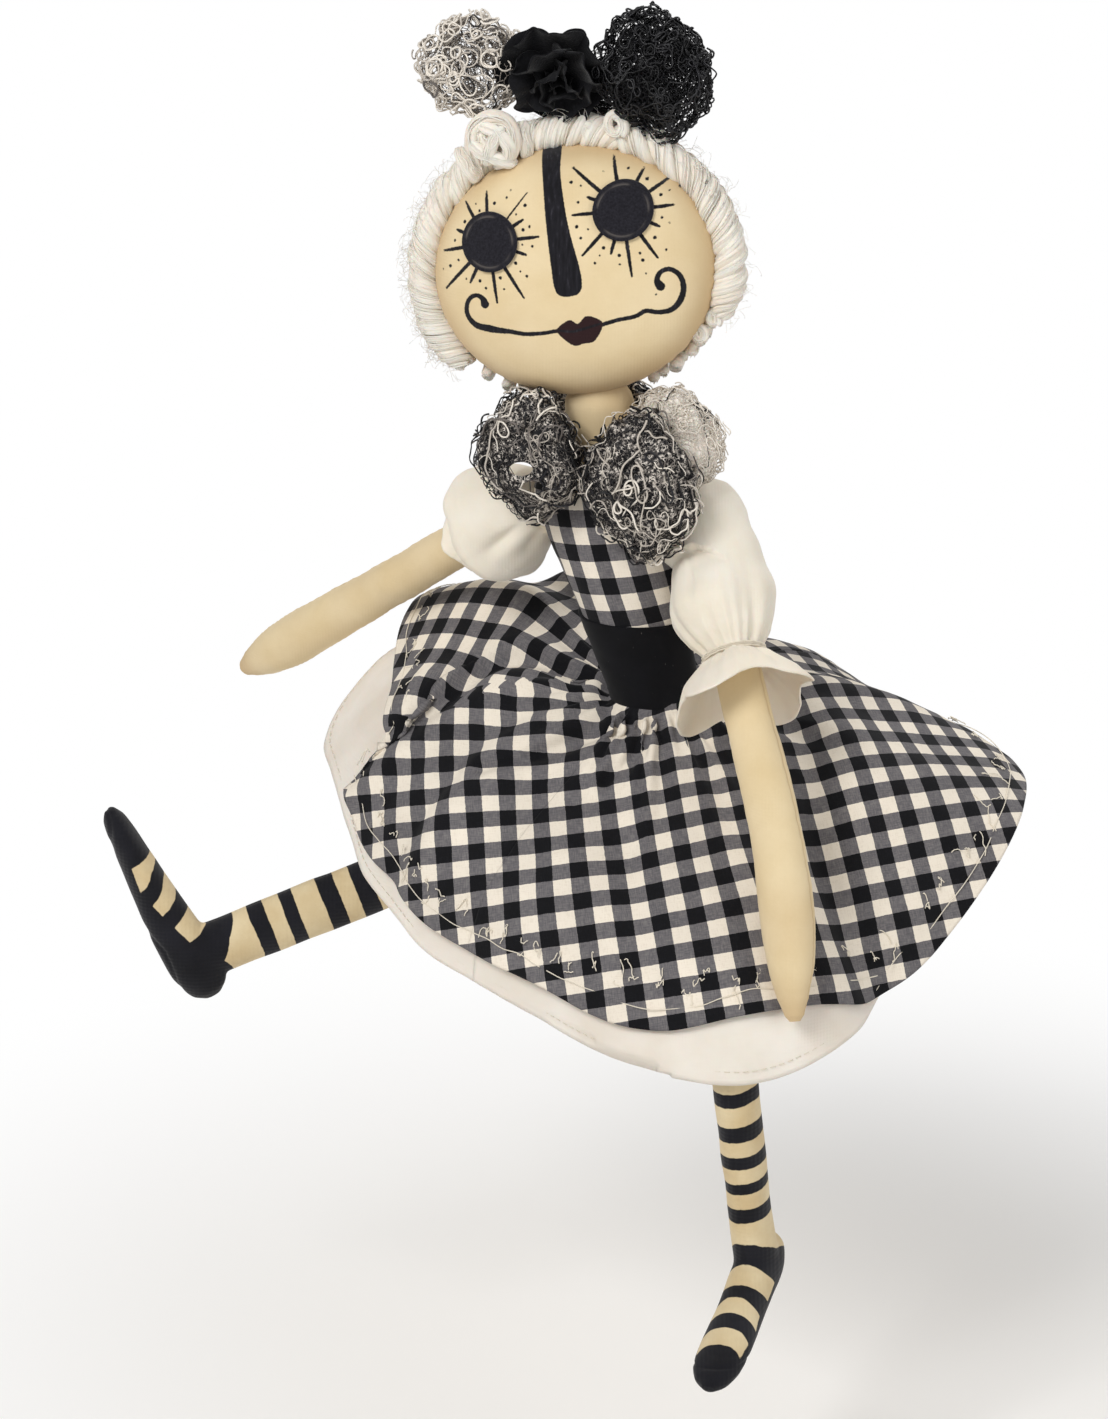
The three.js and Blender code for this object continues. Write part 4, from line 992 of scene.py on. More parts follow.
def face_paint(place):
    """Distance to the nearest painted edge, and how much each place belongs to the lips."""
    paint = np.minimum(polygon_distance(place, NOSE), stroke_distance(place, MOUTH_RIGHT))
    paint = np.minimum(paint, stroke_distance(place, MOUTH_LEFT))
    lips = polygon_distance(place, LIPS)
    paint = np.minimum(paint, lips)
    for side, (x, y) in EYES.items():
        eye = np.array((x, y))
        for angle, reach in RAYS[side]:
            # The ray towards the nose from the right eye is the finest
            wide = 0.3 if (side, angle) == ("right", 45) else 0.64
            rows = [(*(eye + face_way(angle) * d), wide * share) for d, share in
                    ((EYE_DIAMETER / 2 - 1.5, 1.05), (mix(EYE_DIAMETER / 2, reach, 0.55), 0.9), (reach - 0.4, 0.55))]
            paint = np.minimum(paint, stroke_distance(place, rows))
        for k, (angle, reach) in enumerate(DOTS[side]):
            gap = np.linalg.norm(place - (eye + reach * face_way(angle)), axis=1)
            paint = np.minimum(paint, gap - (0.36 + 0.12 * (k * 7 % 3)))
    # A darker line parts the lips
    part = stroke_distance(place, ((-5.5, -19, 0.3), (0, -20, 0.35), (3, -19.6, 0.35), (10, -18.4, 0.3)))
    return paint, smooth(0.5 - lips / 1.2) * smooth(part / 0.5 + 0.3)


class DOLL_OT_head(bpy.types.Operator):
    """The stuffed pillow head with its painted face."""
    bl_idname = "doll.head"
    bl_label = "Head"

    def execute(self, context):
        sides = 360
        latitudes = np.concatenate([np.linspace(-88, -2, 22), np.linspace(0, 88.5, 180)])
        angle = np.arange(sides) * 360 / sides
        rim = np.abs(latitudes)[:, None]
        a = np.radians(angle)[None, :]
        ring = circle(a)
        # Puckers where the two halves are sewn together, deepest at the seam and gone 15 mm in
        pucker = np.sin(46 * a + 3 * value_noise(ring, 0.25, 4)) * (0.6 + 0.4 * value_noise(ring, 0.18, 6))
        grow = -0.45 * bump(rim, 1.6) + 0.22 * pucker * bump(rim, 12)
        rings = pillow(angle[None, :], latitudes[:, None], grow)
        points, faces = closed_loft(rings)
        local = (points - HEAD_CENTRE) @ HEAD_AXES.T
        paint, lips = face_paint(local[:, :2])
        paint = np.where(local[:, 2] > 0, paint, 1e3)
        share = np.hypot(local[:, 0] / HEAD_HALF[0], local[:, 1] / HEAD_HALF[1])
        # Browner round the rim, and darker towards the bottom of the face
        browning = 0.5 * smooth((share - 0.8) / 0.25)
        browning = browning + 0.22 * smooth((-local[:, 1] - 22) / 24) * smooth((share - 0.5) / 0.4)
        browning = browning + 0.12 * value_noise(points, 16, 5)
        piece = new_piece("painted_head", points, faces, [tea_stained_muslin("painted_muslin", painted=True)],
                          values={"paint": paint, "lips": lips, "browning": np.clip(browning, 0, 1)})
        declare(piece, "head", ["head"])
        return {"FINISHED"}


class DOLL_OT_eyes(bpy.types.Operator):
    """Round felt discs glued on the face, with a ring of pale stitches near the rim."""
    bl_idname = "doll.eyes"
    bl_label = "Felt eyes"

    def execute(self, context):
        felt = wool_felt()
        for side, (across, rise) in EYES.items():
            deselect()
            bpy.ops.mesh.primitive_circle_add(vertices=72, radius=EYE_DIAMETER / 2 * MM, fill_type="NGON")
            piece = context.active_object
            piece.name = f"felt_eye_{side}"
            bpy.ops.object.mode_set(mode="EDIT")
            bpy.ops.mesh.extrude_region_move(TRANSFORM_OT_translate={"value": (0, 0, FELT * MM)})
            for inset in (0.35, 0.6, 0.5, 0.35, 0.35, 0.8, 1.4, 1.8, 2.0):
                bpy.ops.mesh.inset(thickness=inset * MM)
            bpy.ops.object.mode_set(mode="OBJECT")
            mesh = piece.data
            flat = vertex_numbers(mesh, "co") / MM
            reach = np.hypot(flat[:, 0], flat[:, 1])
            rim = EYE_DIAMETER / 2
            # The rim is rounded over a little; the ring of stitches is only a colour
            edge = smooth((reach - rim + 0.5) / 0.5)
            top = flat[:, 2] > FELT / 2
            height = np.where(top, GAP + FELT - 0.12 * edge + 0.12 * value_noise(flat, 1.3, 8), GAP)
            x, y = across + flat[:, 0], rise + flat[:, 1]
            points = on_head(x, y, face_depth(x, y) + height)
            mesh.vertices.foreach_set("co", (points * MM).ravel())
            turn = np.arctan2(flat[:, 1], flat[:, 0])
            stitch = bump(reach - 0.84 * rim, 0.3) * smooth(0.5 + value_noise(circle(turn), 0.5, 7))
            name_values(mesh, "ring", stitch)
            mesh.materials.append(felt)
            mesh.update()
            bpy.ops.object.shade_smooth_by_angle(angle=math.radians(50))
            declare(piece, "head", [f"eye_disc_{side}"])
        return {"FINISHED"}


class DOLL_OT_dress(bpy.types.Operator):
    """Gingham bodice and black waistband."""
    bl_idname = "doll.dress"
    bl_label = "Bodice and waistband"

    def execute(self, context):
        check = context.scene.doll.check
        sides = 144
        front = 35                       # the side where a row of the cloth starts
        angles = side_angles(sides)
        top = WAIST_HEIGHT + BAND_HEIGHT

        def wrapped(name, low, high, cloth, wrinkle, material, seed):
            heights = np.linspace(low, high, 44)
            rings = np.array([torso_ring(h, angles, GAP + cloth) for h in heights])
            outward = unit(rings - rings.mean(axis=1, keepdims=True))
            creases = value_noise(rings * (1, 1, 0.35), 9, seed)
            creases = creases + 0.5 * value_noise(rings * (0.5, 0.5, 1), 4, seed + 1)
            rings = rings + outward * (wrinkle * (creases - 0.4))[..., None]
            girth = np.cumsum(np.linalg.norm(np.diff(rings, axis=1, append=rings[:, :1]), axis=2), axis=1)
            across = np.concatenate([0 * girth[:, :1], girth[:, :-1]], axis=1) - girth[:, front:front + 1]
            # The rows sag a little towards the doll's left, where the cloth is pulled under the arm
            rise = heights[:, None] + 0.13 * across
            uv = np.stack([across - 0.1 * heights[:, None], rise], axis=-1).reshape(-1, 2) * MM
            piece = new_piece(name, rings.reshape(-1, 3), grid_faces(len(rings), sides, True), [material], uv=uv)
            thicken(piece, cloth * 0.9)
            return piece, girth[:, -1].mean(), high - low

        for name, low, high, cloth, wrinkle, material, seed, slot, node in (
                ("gingham_bodice", top - 2, BODICE_TOP, CLOTH, 0.45, woven_gingham(check), 11, "gingham", "bodice"),
                ("black_waistband", WAIST_HEIGHT, top + 0.5, BAND_CLOTH, 0.35, black_cotton(), 21, "black_cotton",
                 "waistband")):
            piece, width, height = wrapped(name, low, high, cloth, wrinkle, material, seed)
            declare(piece, "body", [node])
        return {"FINISHED"}


# Deep creases of the gingham: depth, half width, and the line each runs along as azimuth and share down the skirt
CREASES = (
    (2.6, 3.2, ((8, 0.02), (36, 0.07), (56, 0.13), (65, 0.31), (71, 0.48))),
    (2.0, 2.6, ((-4, 0.0), (4.5, 0.04), (20, 0.15), (30.5, 0.26))),
    (3.5, 4.5, ((97, 1.0), (96, 0.72), (97.5, 0.6), (109, 0.51), (112, 0.3), (106, 0.12))),
    (3.0, 9.0, ((-87, 0.12), (-73, 0.3), (-58, 0.42), (-47, 0.58), (-43, 0.79), (-46, 0.98))),
    (1.6, 5.0, ((-20, 0.02), (-27, 0.3), (-30, 0.6))),
    (1.5, 6.0, ((84, 0.3), (78, 0.6), (74, 0.98))),
    (1.5, 7.0, ((12, 0.45), (6, 0.7), (3, 0.98))),
)
# How the threads lie, by azimuth: the angle between the cloth's own down and the drape's. The cloth is one
# square with a hole for the waist, so its grain runs level over the lap and turns with the drape behind it.
GRAIN = ((-132, -108), (-95, -68), (-60, -25), (-20, 0), (20, 11), (60, 25), (90, 45), (110, 68), (228, 178))


def crease_depth(points):
    """How far the creases press points of the skirt in."""
    depth = np.zeros(points.shape[:-1])
    for deep, wide, line in CREASES:
        corners = skirt_point(*np.array(line, float).T, fine=False)
        path = Curve(list(corners), samples=10).line
        gap = np.min([np.linalg.norm(points - place, axis=-1) for place in path], axis=0)
        depth += deep * bump(gap, wide) - 0.3 * deep * bump(gap - 2 * wide, wide)
    return depth


def relax(down, across, weight_down, weight_across):
    """Numbers over a grid whose steps down and across come nearest the wanted ones, by conjugate gradients."""
    def gather(a, b):
        total = np.zeros((a.shape[0] + 1, a.shape[1]))
        total[1:] += a
        total[:-1] -= a
        total[:, 1:] += b
        total[:, :-1] -= b
        return total

    found = gather(0 * down, 0 * across)
    rest = gather(weight_down * down, weight_across * across)
    way, size = rest.copy(), (rest * rest).sum()
    for _ in range(900):
        pull = gather(weight_down * np.diff(way, axis=0), weight_across * np.diff(way, axis=1))
        step = size / (way * pull).sum()
        found += step * way
        rest -= step * pull
        size, before = (rest * rest).sum(), size
        if size < 1e-9:
            break
        way = rest + way * size / before
    return found


def lay_cloth(azimuth, share):
    """Where points of the skirt lie on the flat cloth, in millimetres, by azimuth and share down the skirt."""
    a, t = np.linspace(BACK_SEAM, BACK_SEAM + 360, 181), np.linspace(0, 1, 41)
    grid = np.stack([skirt_point(a, np.full_like(a, s), fine=False) for s in t])
    down = unit(np.gradient(grid, axis=0))
    across = lean(down, np.gradient(grid, axis=1))
    normal = np.cross(across, down)
    normal *= np.sign(normal[..., 2:])
    turn = read_line(GRAIN, a)[None, :] + 0 * t[:, None]
    # Over the lap the grain is level: its rows rise slightly to the viewer's right
    tilt = np.radians(np.interp(grid[..., 0], (-125, -20, 75), (4, 10, 14)))
    slope = np.array((0, -math.cos(math.radians(19)), math.sin(math.radians(19))))
    rise = np.cross(slope, (1, 0, 0))
    facing = normal @ slope
    found = 0
    for threads, along in (("down", np.sin(tilt)[..., None] * (1, 0, 0) - np.cos(tilt)[..., None] * rise),
                           ("across", -np.cos(tilt)[..., None] * (1, 0, 0) - np.sin(tilt)[..., None] * rise)):
        lift = along - slope * (np.sum(along * normal, axis=-1) / np.maximum(facing, 0.35))[..., None]
        x, y = np.sum(lift * down, axis=-1), np.sum(lift * across, axis=-1)
        angle = np.arctan2(-y, x) if threads == "down" else np.arctan2(x, y)
        found = found + np.exp(1j * angle)
    level = smooth((facing - 0.1) / 0.25) * smooth((112 - np.abs(a)) / 20)[None, :]
    turn = np.angle(mix(np.exp(1j * np.radians(turn)), found / np.abs(found), level))
    across_aim = np.sin(turn)[..., None] * down + np.cos(turn)[..., None] * across
    down_aim = np.cos(turn)[..., None] * down - np.sin(turn)[..., None] * across
    edge_down, edge_across = np.diff(grid, axis=0), np.diff(grid, axis=1)
    long_down, long_across = np.linalg.norm(edge_down, axis=-1), np.linalg.norm(edge_across, axis=-1)
    wide = np.pad(long_across, ((0, 0), (1, 1)), mode="edge")
    wide = (wide[:, 1:] + wide[:, :-1]) / 2
    tall = np.pad(long_down, ((1, 1), (0, 0)), mode="edge")
    tall = (tall[1:] + tall[:-1]) / 2
    weight_down = (wide[1:] + wide[:-1]) / 2 / long_down
    weight_across = (tall[:, 1:] + tall[:, :-1]) / 2 / long_across
    flat = []
    for ideal in (across_aim, down_aim):
        wanted_down = np.sum((ideal[1:] + ideal[:-1]) / 2 * edge_down, axis=-1)
        wanted_across = np.sum((ideal[:, 1:] + ideal[:, :-1]) / 2 * edge_across, axis=-1)
        rough = relax(wanted_down, wanted_across, weight_down, weight_across)
        rows = np.stack([np.interp(azimuth, a, row) for row in rough])
        flat.append(np.stack([np.interp(share, t, column) for column in rows.T], axis=1))
    return np.stack(flat, axis=-1)


# Each half: its azimuths, the thigh under it, and where a blend to the thigh would start and end
SKIRT_HALVES = {"left": (BACK_SEAM + 0.1, FRONT_SEAM, "thigh_left", (25, -43.5, 0), (50, -87, 0)),
                "right": (FRONT_SEAM, BACK_SEAM + 359.9, "thigh_right", (-50, 5, 0), (-100, 8, 0))}


class DOLL_OT_skirts(bpy.types.Operator):
    """Gingham skirt over a white petticoat, each in two halves."""
    bl_idname = "doll.skirts"
    bl_label = "Skirt and petticoat"

    def execute(self, context):
        gingham = woven_gingham(context.scene.doll.check)
        white = white_cotton("petticoat_cotton", "E4DACC", "F1EAE0")
        for side, (low, high, leg, start, end) in SKIRT_HALVES.items():
            for name, point, columns, rows, material, slot, node, below, press, deep in (
                    ("gingham_skirt", skirt_point, 290, 110, gingham, "gingham", "skirt", "petticoat", 1, 0.4),
                    ("petticoat", petticoat_point, 220, 80, white, "white_cotton", "petticoat", "thigh", 0.9, 1.3)):
                azimuth = np.linspace(low, high, columns + 1)
                t = np.linspace(0, 1, rows + 1)
                grid = np.stack([point(azimuth, np.full_like(azimuth, share)) for share in t])
                outward = unit(np.cross(np.gradient(grid, axis=1), np.gradient(grid, axis=0)))
                outward *= np.sign(outward[..., 2:])
                away = np.minimum(1, t * 3)[:, None]
                lift = away * (0.9 * value_noise(grid, 30, 30) + 0.5 * value_noise(grid, 14, 31)
                               + 0.2 * value_noise(grid, 6, 32))
                lift -= crease_depth(grid) * smooth(t / 0.06)[:, None] * press
                grid = grid + outward * lift[..., None]
                # The top is tucked in under the waistband
                angles = np.radians(azimuth)
                ring = np.stack([-np.sin(angles), -np.cos(angles), 0 * angles], axis=-1)
                tuck = [WAIST + ring * (out - deep) + UP * (rise - deep) for out, rise in ((17.6, 4.5), (18.1, 2.4))]
                grid = np.concatenate([tuck, grid])
                uv = None
                if slot == "gingham":
                    flat = lay_cloth(azimuth, t)
                    flat = np.concatenate([3 * flat[:1] - 2 * flat[1:2], 2 * flat[:1] - flat[1:2], flat])
                    sheared = [0.8 * value_noise(grid, 34, seed) for seed in (33, 34)]
                    uv = (flat + np.stack(sheared, axis=-1)).reshape(-1, 2) * MM
                piece = new_piece(f"{name}_{side}", grid.reshape(-1, 3), grid_faces(*grid.shape[:2]), [material],
                                  uv=uv)
                if piece.data.polygons[len(piece.data.polygons) // 2].normal.z < 0:
                    piece.data.flip_normals()
                thicken(piece, SKIRT_CLOTH)
                declare(piece, None, [f"{node}_{side}_panel"])
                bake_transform(piece)
        return {"FINISHED"}


# Creases of the puff: angle round the arm from the viewer's left, distance along it, depth
PUFF_CREASES = {"left": ((-20, 27, 0), (30, 27, 2.6), (75, 27, 3.4), (100, 28, 3.4), (118, 31.5, 2.4), (136, 37, 0)),
                "right": ((0, 30, 0), (40, 30, 0))}
# Folds above the gathers: angle and width
PUFF_FOLDS = {"left": ((48, 8), (100, 10), (159, 9), (191, 7), (235, 9), (280, 10), (330, 9), (5, 8)),
              "right": ((60, 16), (170, 18), (280, 16))}
# Dents along the arm: angle, width, middle distance, half length, depth
PUFF_DENTS = {"left": ((86, 6, 42, 9, 1.5), (150, 14, 48, 8, 1.2)),
              "right": ((112, 9, 14, 8, 2.6), (150, 12, 8, 7, 2))}


class DOLL_OT_sleeves(bpy.types.Operator):
    """White puff sleeves, gathered by a thread, with a frill below it."""
    bl_idname = "doll.sleeves"
    bl_label = "Sleeves"

    def execute(self, context):
        cotton = white_cotton("sleeve_cotton", "EADFCB", "F4ECDF")
        thread = cotton_thread()
        for side in ("left", "right"):
            curve = arm_curve(side)
            size = SLEEVES[side]
            full, bag, frill, wide, flare = (size[key] for key in ("puff", "bag", "frill", "radius", "flare"))
            gather = ARM_BALL + size["length"]
            snug = ARM_BALL + GAP + CLOTH + 0.6
            start = ARM_BALL - 14
            rows = ((start, 0.8), (start + 1.6, 7), (start + 6, 12.5), (start + 15, 16.5),
                    (gather - 1.6 * bag, full - 2), (gather - bag, full), (gather - 0.4 * bag, full - 4),
                    (gather, snug), (gather + 0.16 * frill, mix(snug, wide, 0.25)),
                    (gather + 0.55 * frill, mix(ARM_BALL, wide, 0.72)), (gather + frill, wide))
            sides, steps = 170, 108
            angles = side_angles(sides)
            turned = np.degrees(angles)
            crease = np.array(PUFF_CREASES[side], float).T
            rings = []
            for distance in np.linspace(start, gather + frill, steps):
                radius = float(between(rows, distance)[0])
                tangent, width, depth = curve.across(max(distance, 0), FRONT)
                centre = curve.at(max(distance, 0)) + tangent * min(distance, 0)
                open_share = smooth((distance - gather - 2) / frill)
                wave = open_share * np.cos(4 * angles + flare) * min(1, frill / 19)
                # Small gathers that fan out from the thread, both ways, and soft dents in the puff
                near = math.exp(-abs(distance - gather) / 11) * (1 - math.exp(-abs(distance - gather) / 2.5))
                pleat = np.sin(19 * angles + 2.5 * np.sin(3 * angles + flare)) * near * size["pleat"]
                for middle, spread in PUFF_FOLDS[side]:
                    pleat = pleat - 2.6 * near * bump(wrap(turned - middle), spread)
                past = distance - np.interp(wrap(turned), crease[0], crease[1])
                sunk = np.interp(wrap(turned), crease[0], crease[2]) * np.where(
                    past > 0, -np.exp(-past / 5) * smooth(past / 0.8), 0.4 * np.exp(past / 5))
                pleat = pleat + sunk
                for middle, spread, at, half, deep in PUFF_DENTS[side]:
                    pleat = pleat - deep * bump(wrap(turned - middle), spread) * bump(distance - at, half)
                ring = circle(angles, distance / 22)
                dents = value_noise(ring, 0.55, 41 + flare) * 1.5 * smooth((distance - start) / 14) * (1 - open_share)
                r = radius * (1 + 0.13 * wave) + pleat + dents
                rings.append(oval(centre, width, depth, r, r, angles) + (3.2 * wave)[:, None] * tangent)
            points = np.concatenate(rings)
            piece = new_piece(f"puff_sleeve_{side}", points, grid_faces(steps, sides, True), [cotton])
            thicken(piece, SLEEVE_CLOTH)
            declare(piece, f"arm_{side}", [f"sleeve_{side}"])
            # Three turns of thread side by side
            turns = []
            tangent, width, depth = curve.across(gather, FRONT)
            a = np.linspace(0, 2 * math.pi, 60)
            for k in range(3):
                centre = curve.at(gather) + tangent * (k - 1) * 0.7
                r = snug + 0.6 + 0.25 * np.sin(19 * a + k)
                turns.append(oval(centre, width, depth, r, r, a))
            tie = tubes(f"gathering_thread_{side}", turns, GATHERING_THREAD, [thread], sides=6,
                        tones=[0.9, 0.7, 0.85])
            declare(tie, f"arm_{side}", [f"sleeve_tie_{side}"])
        return {"FINISHED"}


class DOLL_OT_arms(bpy.types.Operator):
    """Stuffed muslin arms with a seam down each side and a blunt mitten end."""
    bl_idname = "doll.arms"
    bl_label = "Arms"

    def execute(self, context):
        muslin = tea_stained_muslin("arm_muslin")
        for side in ("left", "right"):
            curve = arm_curve(side)
            sides, steps = 96, 150

            def shape(t):
                scale = float(between(ARM_SHAPE, t)[0])
                return ARM_BALL * scale, ARM_BALL * 0.94 * scale

            rings = limb(curve, shape, FRONT, sides, steps)
            angles = side_angles(sides)
            t = (1 - np.cos(math.pi * np.arange(steps + 1) / steps)) / 2
            seam = bump(np.sin(angles), 0.06)[None, :]
            outward = unit(rings - rings.mean(axis=1, keepdims=True))
            stuffing = 0.35 * value_noise(rings, 11, 51) + 0.15 * value_noise(rings, 4, 52)
            puckers = 0.12 * np.sin(t[:, None] * 420) * bump(np.sin(angles), 0.3)[None, :]
            fade = smooth(np.minimum(t, 1 - t) / 0.04)[:, None]
            rings = rings + outward * ((stuffing + puckers - 0.4 * seam) * fade)[..., None]
            points, faces = closed_loft(rings)
            tip = smooth((t - 0.9) / 0.1)[:, None]
            browning = 0.35 * seam + 0.35 * tip + 0.1 * value_noise(rings, 18, 53) + 0.06
            piece = new_piece(f"stuffed_arm_{side}", points, faces, [muslin], values={"browning": padded_values(browning)})
            declare(piece, f"arm_{side}", [f"arm_{side}"])
        return {"FINISHED"}


# Half width and half depth along the leg, by the share of its length
THIGH_SHAPE = ((0, 3.5, 3.5), (0.03, 8.4, 8.2), (0.09, HIP_BALL, 10.5), (0.4, 11, 10.4), (0.75, 9.4, 9.4),
               (0.93, 8.6, 8.8), (0.98, 6, 6.2), (1, 3, 3))
SHIN_SHAPE = ((0, 2.8, 2.8), (0.03, 6.6, 6.8), (0.085, KNEE_BALL - 0.6, KNEE_BALL), (0.3, 8.1, 10.6),
              (0.6, 7.7, 10.8), (0.8, 7.7, 10.6), (0.92, 8.2, 10.4), (0.98, 7, 8.4), (1, 4, 5))
SOLE_SHAPE = ((0, 3, 3.5), (0.04, 6.6, 7.6), (0.14, 8.6, 10.4), (0.3, 8.8, 10), (0.45, 8.8, FOOT_HALF_HEIGHT),
              (0.7, FOOT_HALF_WIDTH, 6.8), (0.86, 9.2, 5.6), (0.95, 6.4, 4.2), (1, 2.6, 2))
# Black bands sewn round the shin, each from and to in millimetres below the knee
SHIN_BANDS = {
    "left": ((6, 11), (16.5, 21.5), (26, 31.2), (39.1, 45.1), (51, 56), (61.7, 65.8), (71.8, 77.3)),
    "right": ((5, 11), (16, 21), (25.8, 32.9), (39.4, 46.3), (56, 61.4), (68, 74.3)),
}
# The black shoe: its upper edge as distance forward of the heel and below the knee, then the cream windows over
# the instep, which its straps leave open; corners are below the knee and forward of the heel.
SHOE_EDGE = {
    "left": ((-12, 100), (4, 97), (9, 94.5), (14, 92.4), (18, 90.3), (21.4, 88.1), (23, 86), (28, 85)),
    "right": ((-12, 88), (4, 86.6), (8, 87.2), (12, 89.3), (16.5, 85.2), (21.4, 81.8), (25.3, 80.1), (30, 80)),
}
WINDOWS = {
    "left": (((102.8, 24.8), (96.8, 27), (93.8, 27), (85, 24), (85, 36), (93.8, 36), (98, 36.6), (105.5, 34.8)),
             ((106.4, 44.9), (101.9, 44), (99.5, 42.4), (90, 41), (90, 49), (98, 49.6), (102.4, 50.5), (109, 52.9)),
             ((109.6, 61.2), (106.5, 58.8), (104.4, 57.9), (96, 58), (96, 65), (104, 65.2), (107.9, 66.7),
              (111, 69.4))),
    "right": (((98.6, 24.8), (94.2, 25.2), (90.7, 26.6), (87.2, 30.8), (82, 38), (84, 47), (91.6, 41.1), (94.7, 35.9),
               (98.3, 34.4), (102, 33.1)),
              ((104.7, 39.3), (100.9, 40.2), (97.7, 41.9), (95.8, 45), (90, 51), (92, 58), (99.2, 51.5), (101, 48.3),
               (103.9, 46.3), (107, 45)),
              ((109.2, 51.4), (106.5, 52.5), (104.5, 53.9), (102.8, 56.2), (97, 60), (97, 62.4), (104.3, 61.9),
               (106.5, 61.7), (108.8, 61.3))),
}
# The seam between sole and upper, forward of the heel and below the knee
SOLE_SEAM = ((-1, 106), (3, 108), (12, 109.2), (19, 108.8), (26, 109), (33, 111.6), (43, 114.2), (52, 115.4),
             (61, 114.8), (73, 112.6), (81, 109.6))


class DOLL_OT_legs(bpy.types.Operator):
    """Striped stuffed legs: a thigh, and a shin with its foot."""
    bl_idname = "doll.legs"
    bl_label = "Legs"

    def execute(self, context):
        cotton = striped_cotton()
        for side, leg in LEGS.items():
            knee, down, toe = leg["knee"], leg["shin"], leg["toe"]
            curve = Curve([leg["hip"] - leg["thigh"] * HIP_BALL, leg["hip"],
                           leg["hip"] + leg["thigh"] * (THIGH_LENGTH + KNEE_BALL)])
            rings = limb(curve, lambda t: between(THIGH_SHAPE, t), UP, 48, 60)
            points, faces = closed_loft(rings)
            along = (points - leg["hip"]) @ leg["thigh"]
            band = np.abs((along + THIGH_BAND_START) % THIGH_BAND - THIGH_BAND / 2) - THIGH_BAND_HALF
            piece = new_piece(f"stuffed_thigh_{side}", points, faces, [cotton], values={"band": band})
            declare(piece, f"thigh_{side}", [f"thigh_{side}"])

            front = unit(toe - down * (toe @ down))
            total = KNEE_BALL + SHIN_LENGTH + FOOT_HALF_HEIGHT
            curve = Curve([knee - down * KNEE_BALL, knee, knee + down * (total - KNEE_BALL)])
            shin_points, shin_faces = closed_loft(limb(curve, lambda t: between(SHIN_SHAPE, t), front, 40, 50))
            heel = knee + down * (SHIN_LENGTH + 2) - toe * HEEL_BACK
            curve = Curve([heel, heel + toe * FOOT_LENGTH / 2 + down, heel + toe * FOOT_LENGTH])
            foot_points, foot_faces = closed_loft(limb(curve, lambda t: between(SOLE_SHAPE, t), down, 40, 50))
            faces = list(shin_faces) + [tuple(np.asarray(f) + len(shin_points)) for f in foot_faces]
            piece = new_piece(f"stuffed_shin_{side}", np.concatenate([shin_points, foot_points]), faces, [cotton])
            apply_modifier(piece, "REMESH", mode="VOXEL", voxel_size=SKIN_VOXEL * MM)
            apply_modifier(piece, "SMOOTH", factor=0.5, iterations=14)
            co = vertex_numbers(piece.data, "co") / MM
            fall = (co - knee) @ down
            forward = (co - heel) @ toe
            flat = np.stack([fall, forward], axis=-1) + 0.35 * value_noise(co, 7, 61)[:, None]
            band = 0.8 * (read_line(SHOE_EDGE[side], flat[:, 1]) - flat[:, 0])
            for corners in WINDOWS[side]:
                band = np.maximum(band, -polygon_distance(flat, corners, samples=1))
            for low, high in SHIN_BANDS[side]:
                band = np.minimum(band, np.abs(flat[:, 0] - (low + high) / 2) - (high - low) / 2)
            name_values(piece.data, "band", band)
            # The sole's seam, the seam down the back and front of the leg, and small dents of the stuffing
            below = fall - read_line(SOLE_SEAM, forward)
            seam = bump((co - knee) @ np.cross(down, front), 0.55)
            press = 0.5 * bump(below, 0.7) - 0.35 * value_noise(co, 10, 62)
            press += 0.3 * seam * smooth((100 - fall) / 6) * smooth((fall - 10) / 8)
            co = co - vertex_numbers(piece.data, "normal") * press[:, None]
            piece.data.vertices.foreach_set("co", (co * MM).ravel())
            pick(piece)
            bpy.ops.object.shade_smooth()
            declare(piece, f"shin_{side}", [f"shin_{side}"])
        return {"FINISHED"}


# Wool

def roll_line(angle):
    """Middle of the hair roll and the way out from the face, by the angle round it."""
    a = np.radians(angle)
    outward = np.cos(a)[..., None] * HEAD_RIGHT + np.sin(a)[..., None] * HEAD_UP
    return on_head((HEAD_HALF[0] + 4.2) * np.cos(a), (HEAD_HALF[1] + 4.2) * np.sin(a), 2.5), outward


def hank(path, outward, radius, rng, sides=22):
    """Radii, tones and front of one soft hank of roving, whose locks run along it."""
    reach = travelled(path)[:, None]
    place = circle(side_angles(sides)[None, :] + 0.04 * reach, reach / 17) + rng.uniform(0, 60)
    locks = 0.7 * value_noise(place, 0.75) + 0.5 * value_noise(place, 0.42, 5)
    radius = np.asarray(radius)
    return (radius[:, None] if radius.ndim else radius) * (1 + 0.17 * locks), 0.55 + 0.4 * locks, outward


def wisps(path, outward, radius, rng, count):
    """Thin locks that lie loosely on the side of a hank that shows."""
    tangent = unit(np.gradient(path, axis=0))
    out = lean(tangent, outward)
    side = np.cross(tangent, out)
    paths = []
    for _ in range(count):
        a = rng.integers(0, max(1, len(path) - 24))
        part = slice(a, a + int(rng.integers(20, 60)))
        along = np.linspace(0, 1, len(path[part]))
        drift = rng.uniform(-1, 1) + rng.uniform(-0.5, 0.5) * along + 0.2 * np.sin(along * rng.uniform(3, 9))
        lift = (0.96 + 0.16 * np.sin(along * math.pi)) * (radius * np.ones(len(path)))[part]
        paths.append(oval(path[part], out[part], side[part], lift, lift, drift))
    return paths


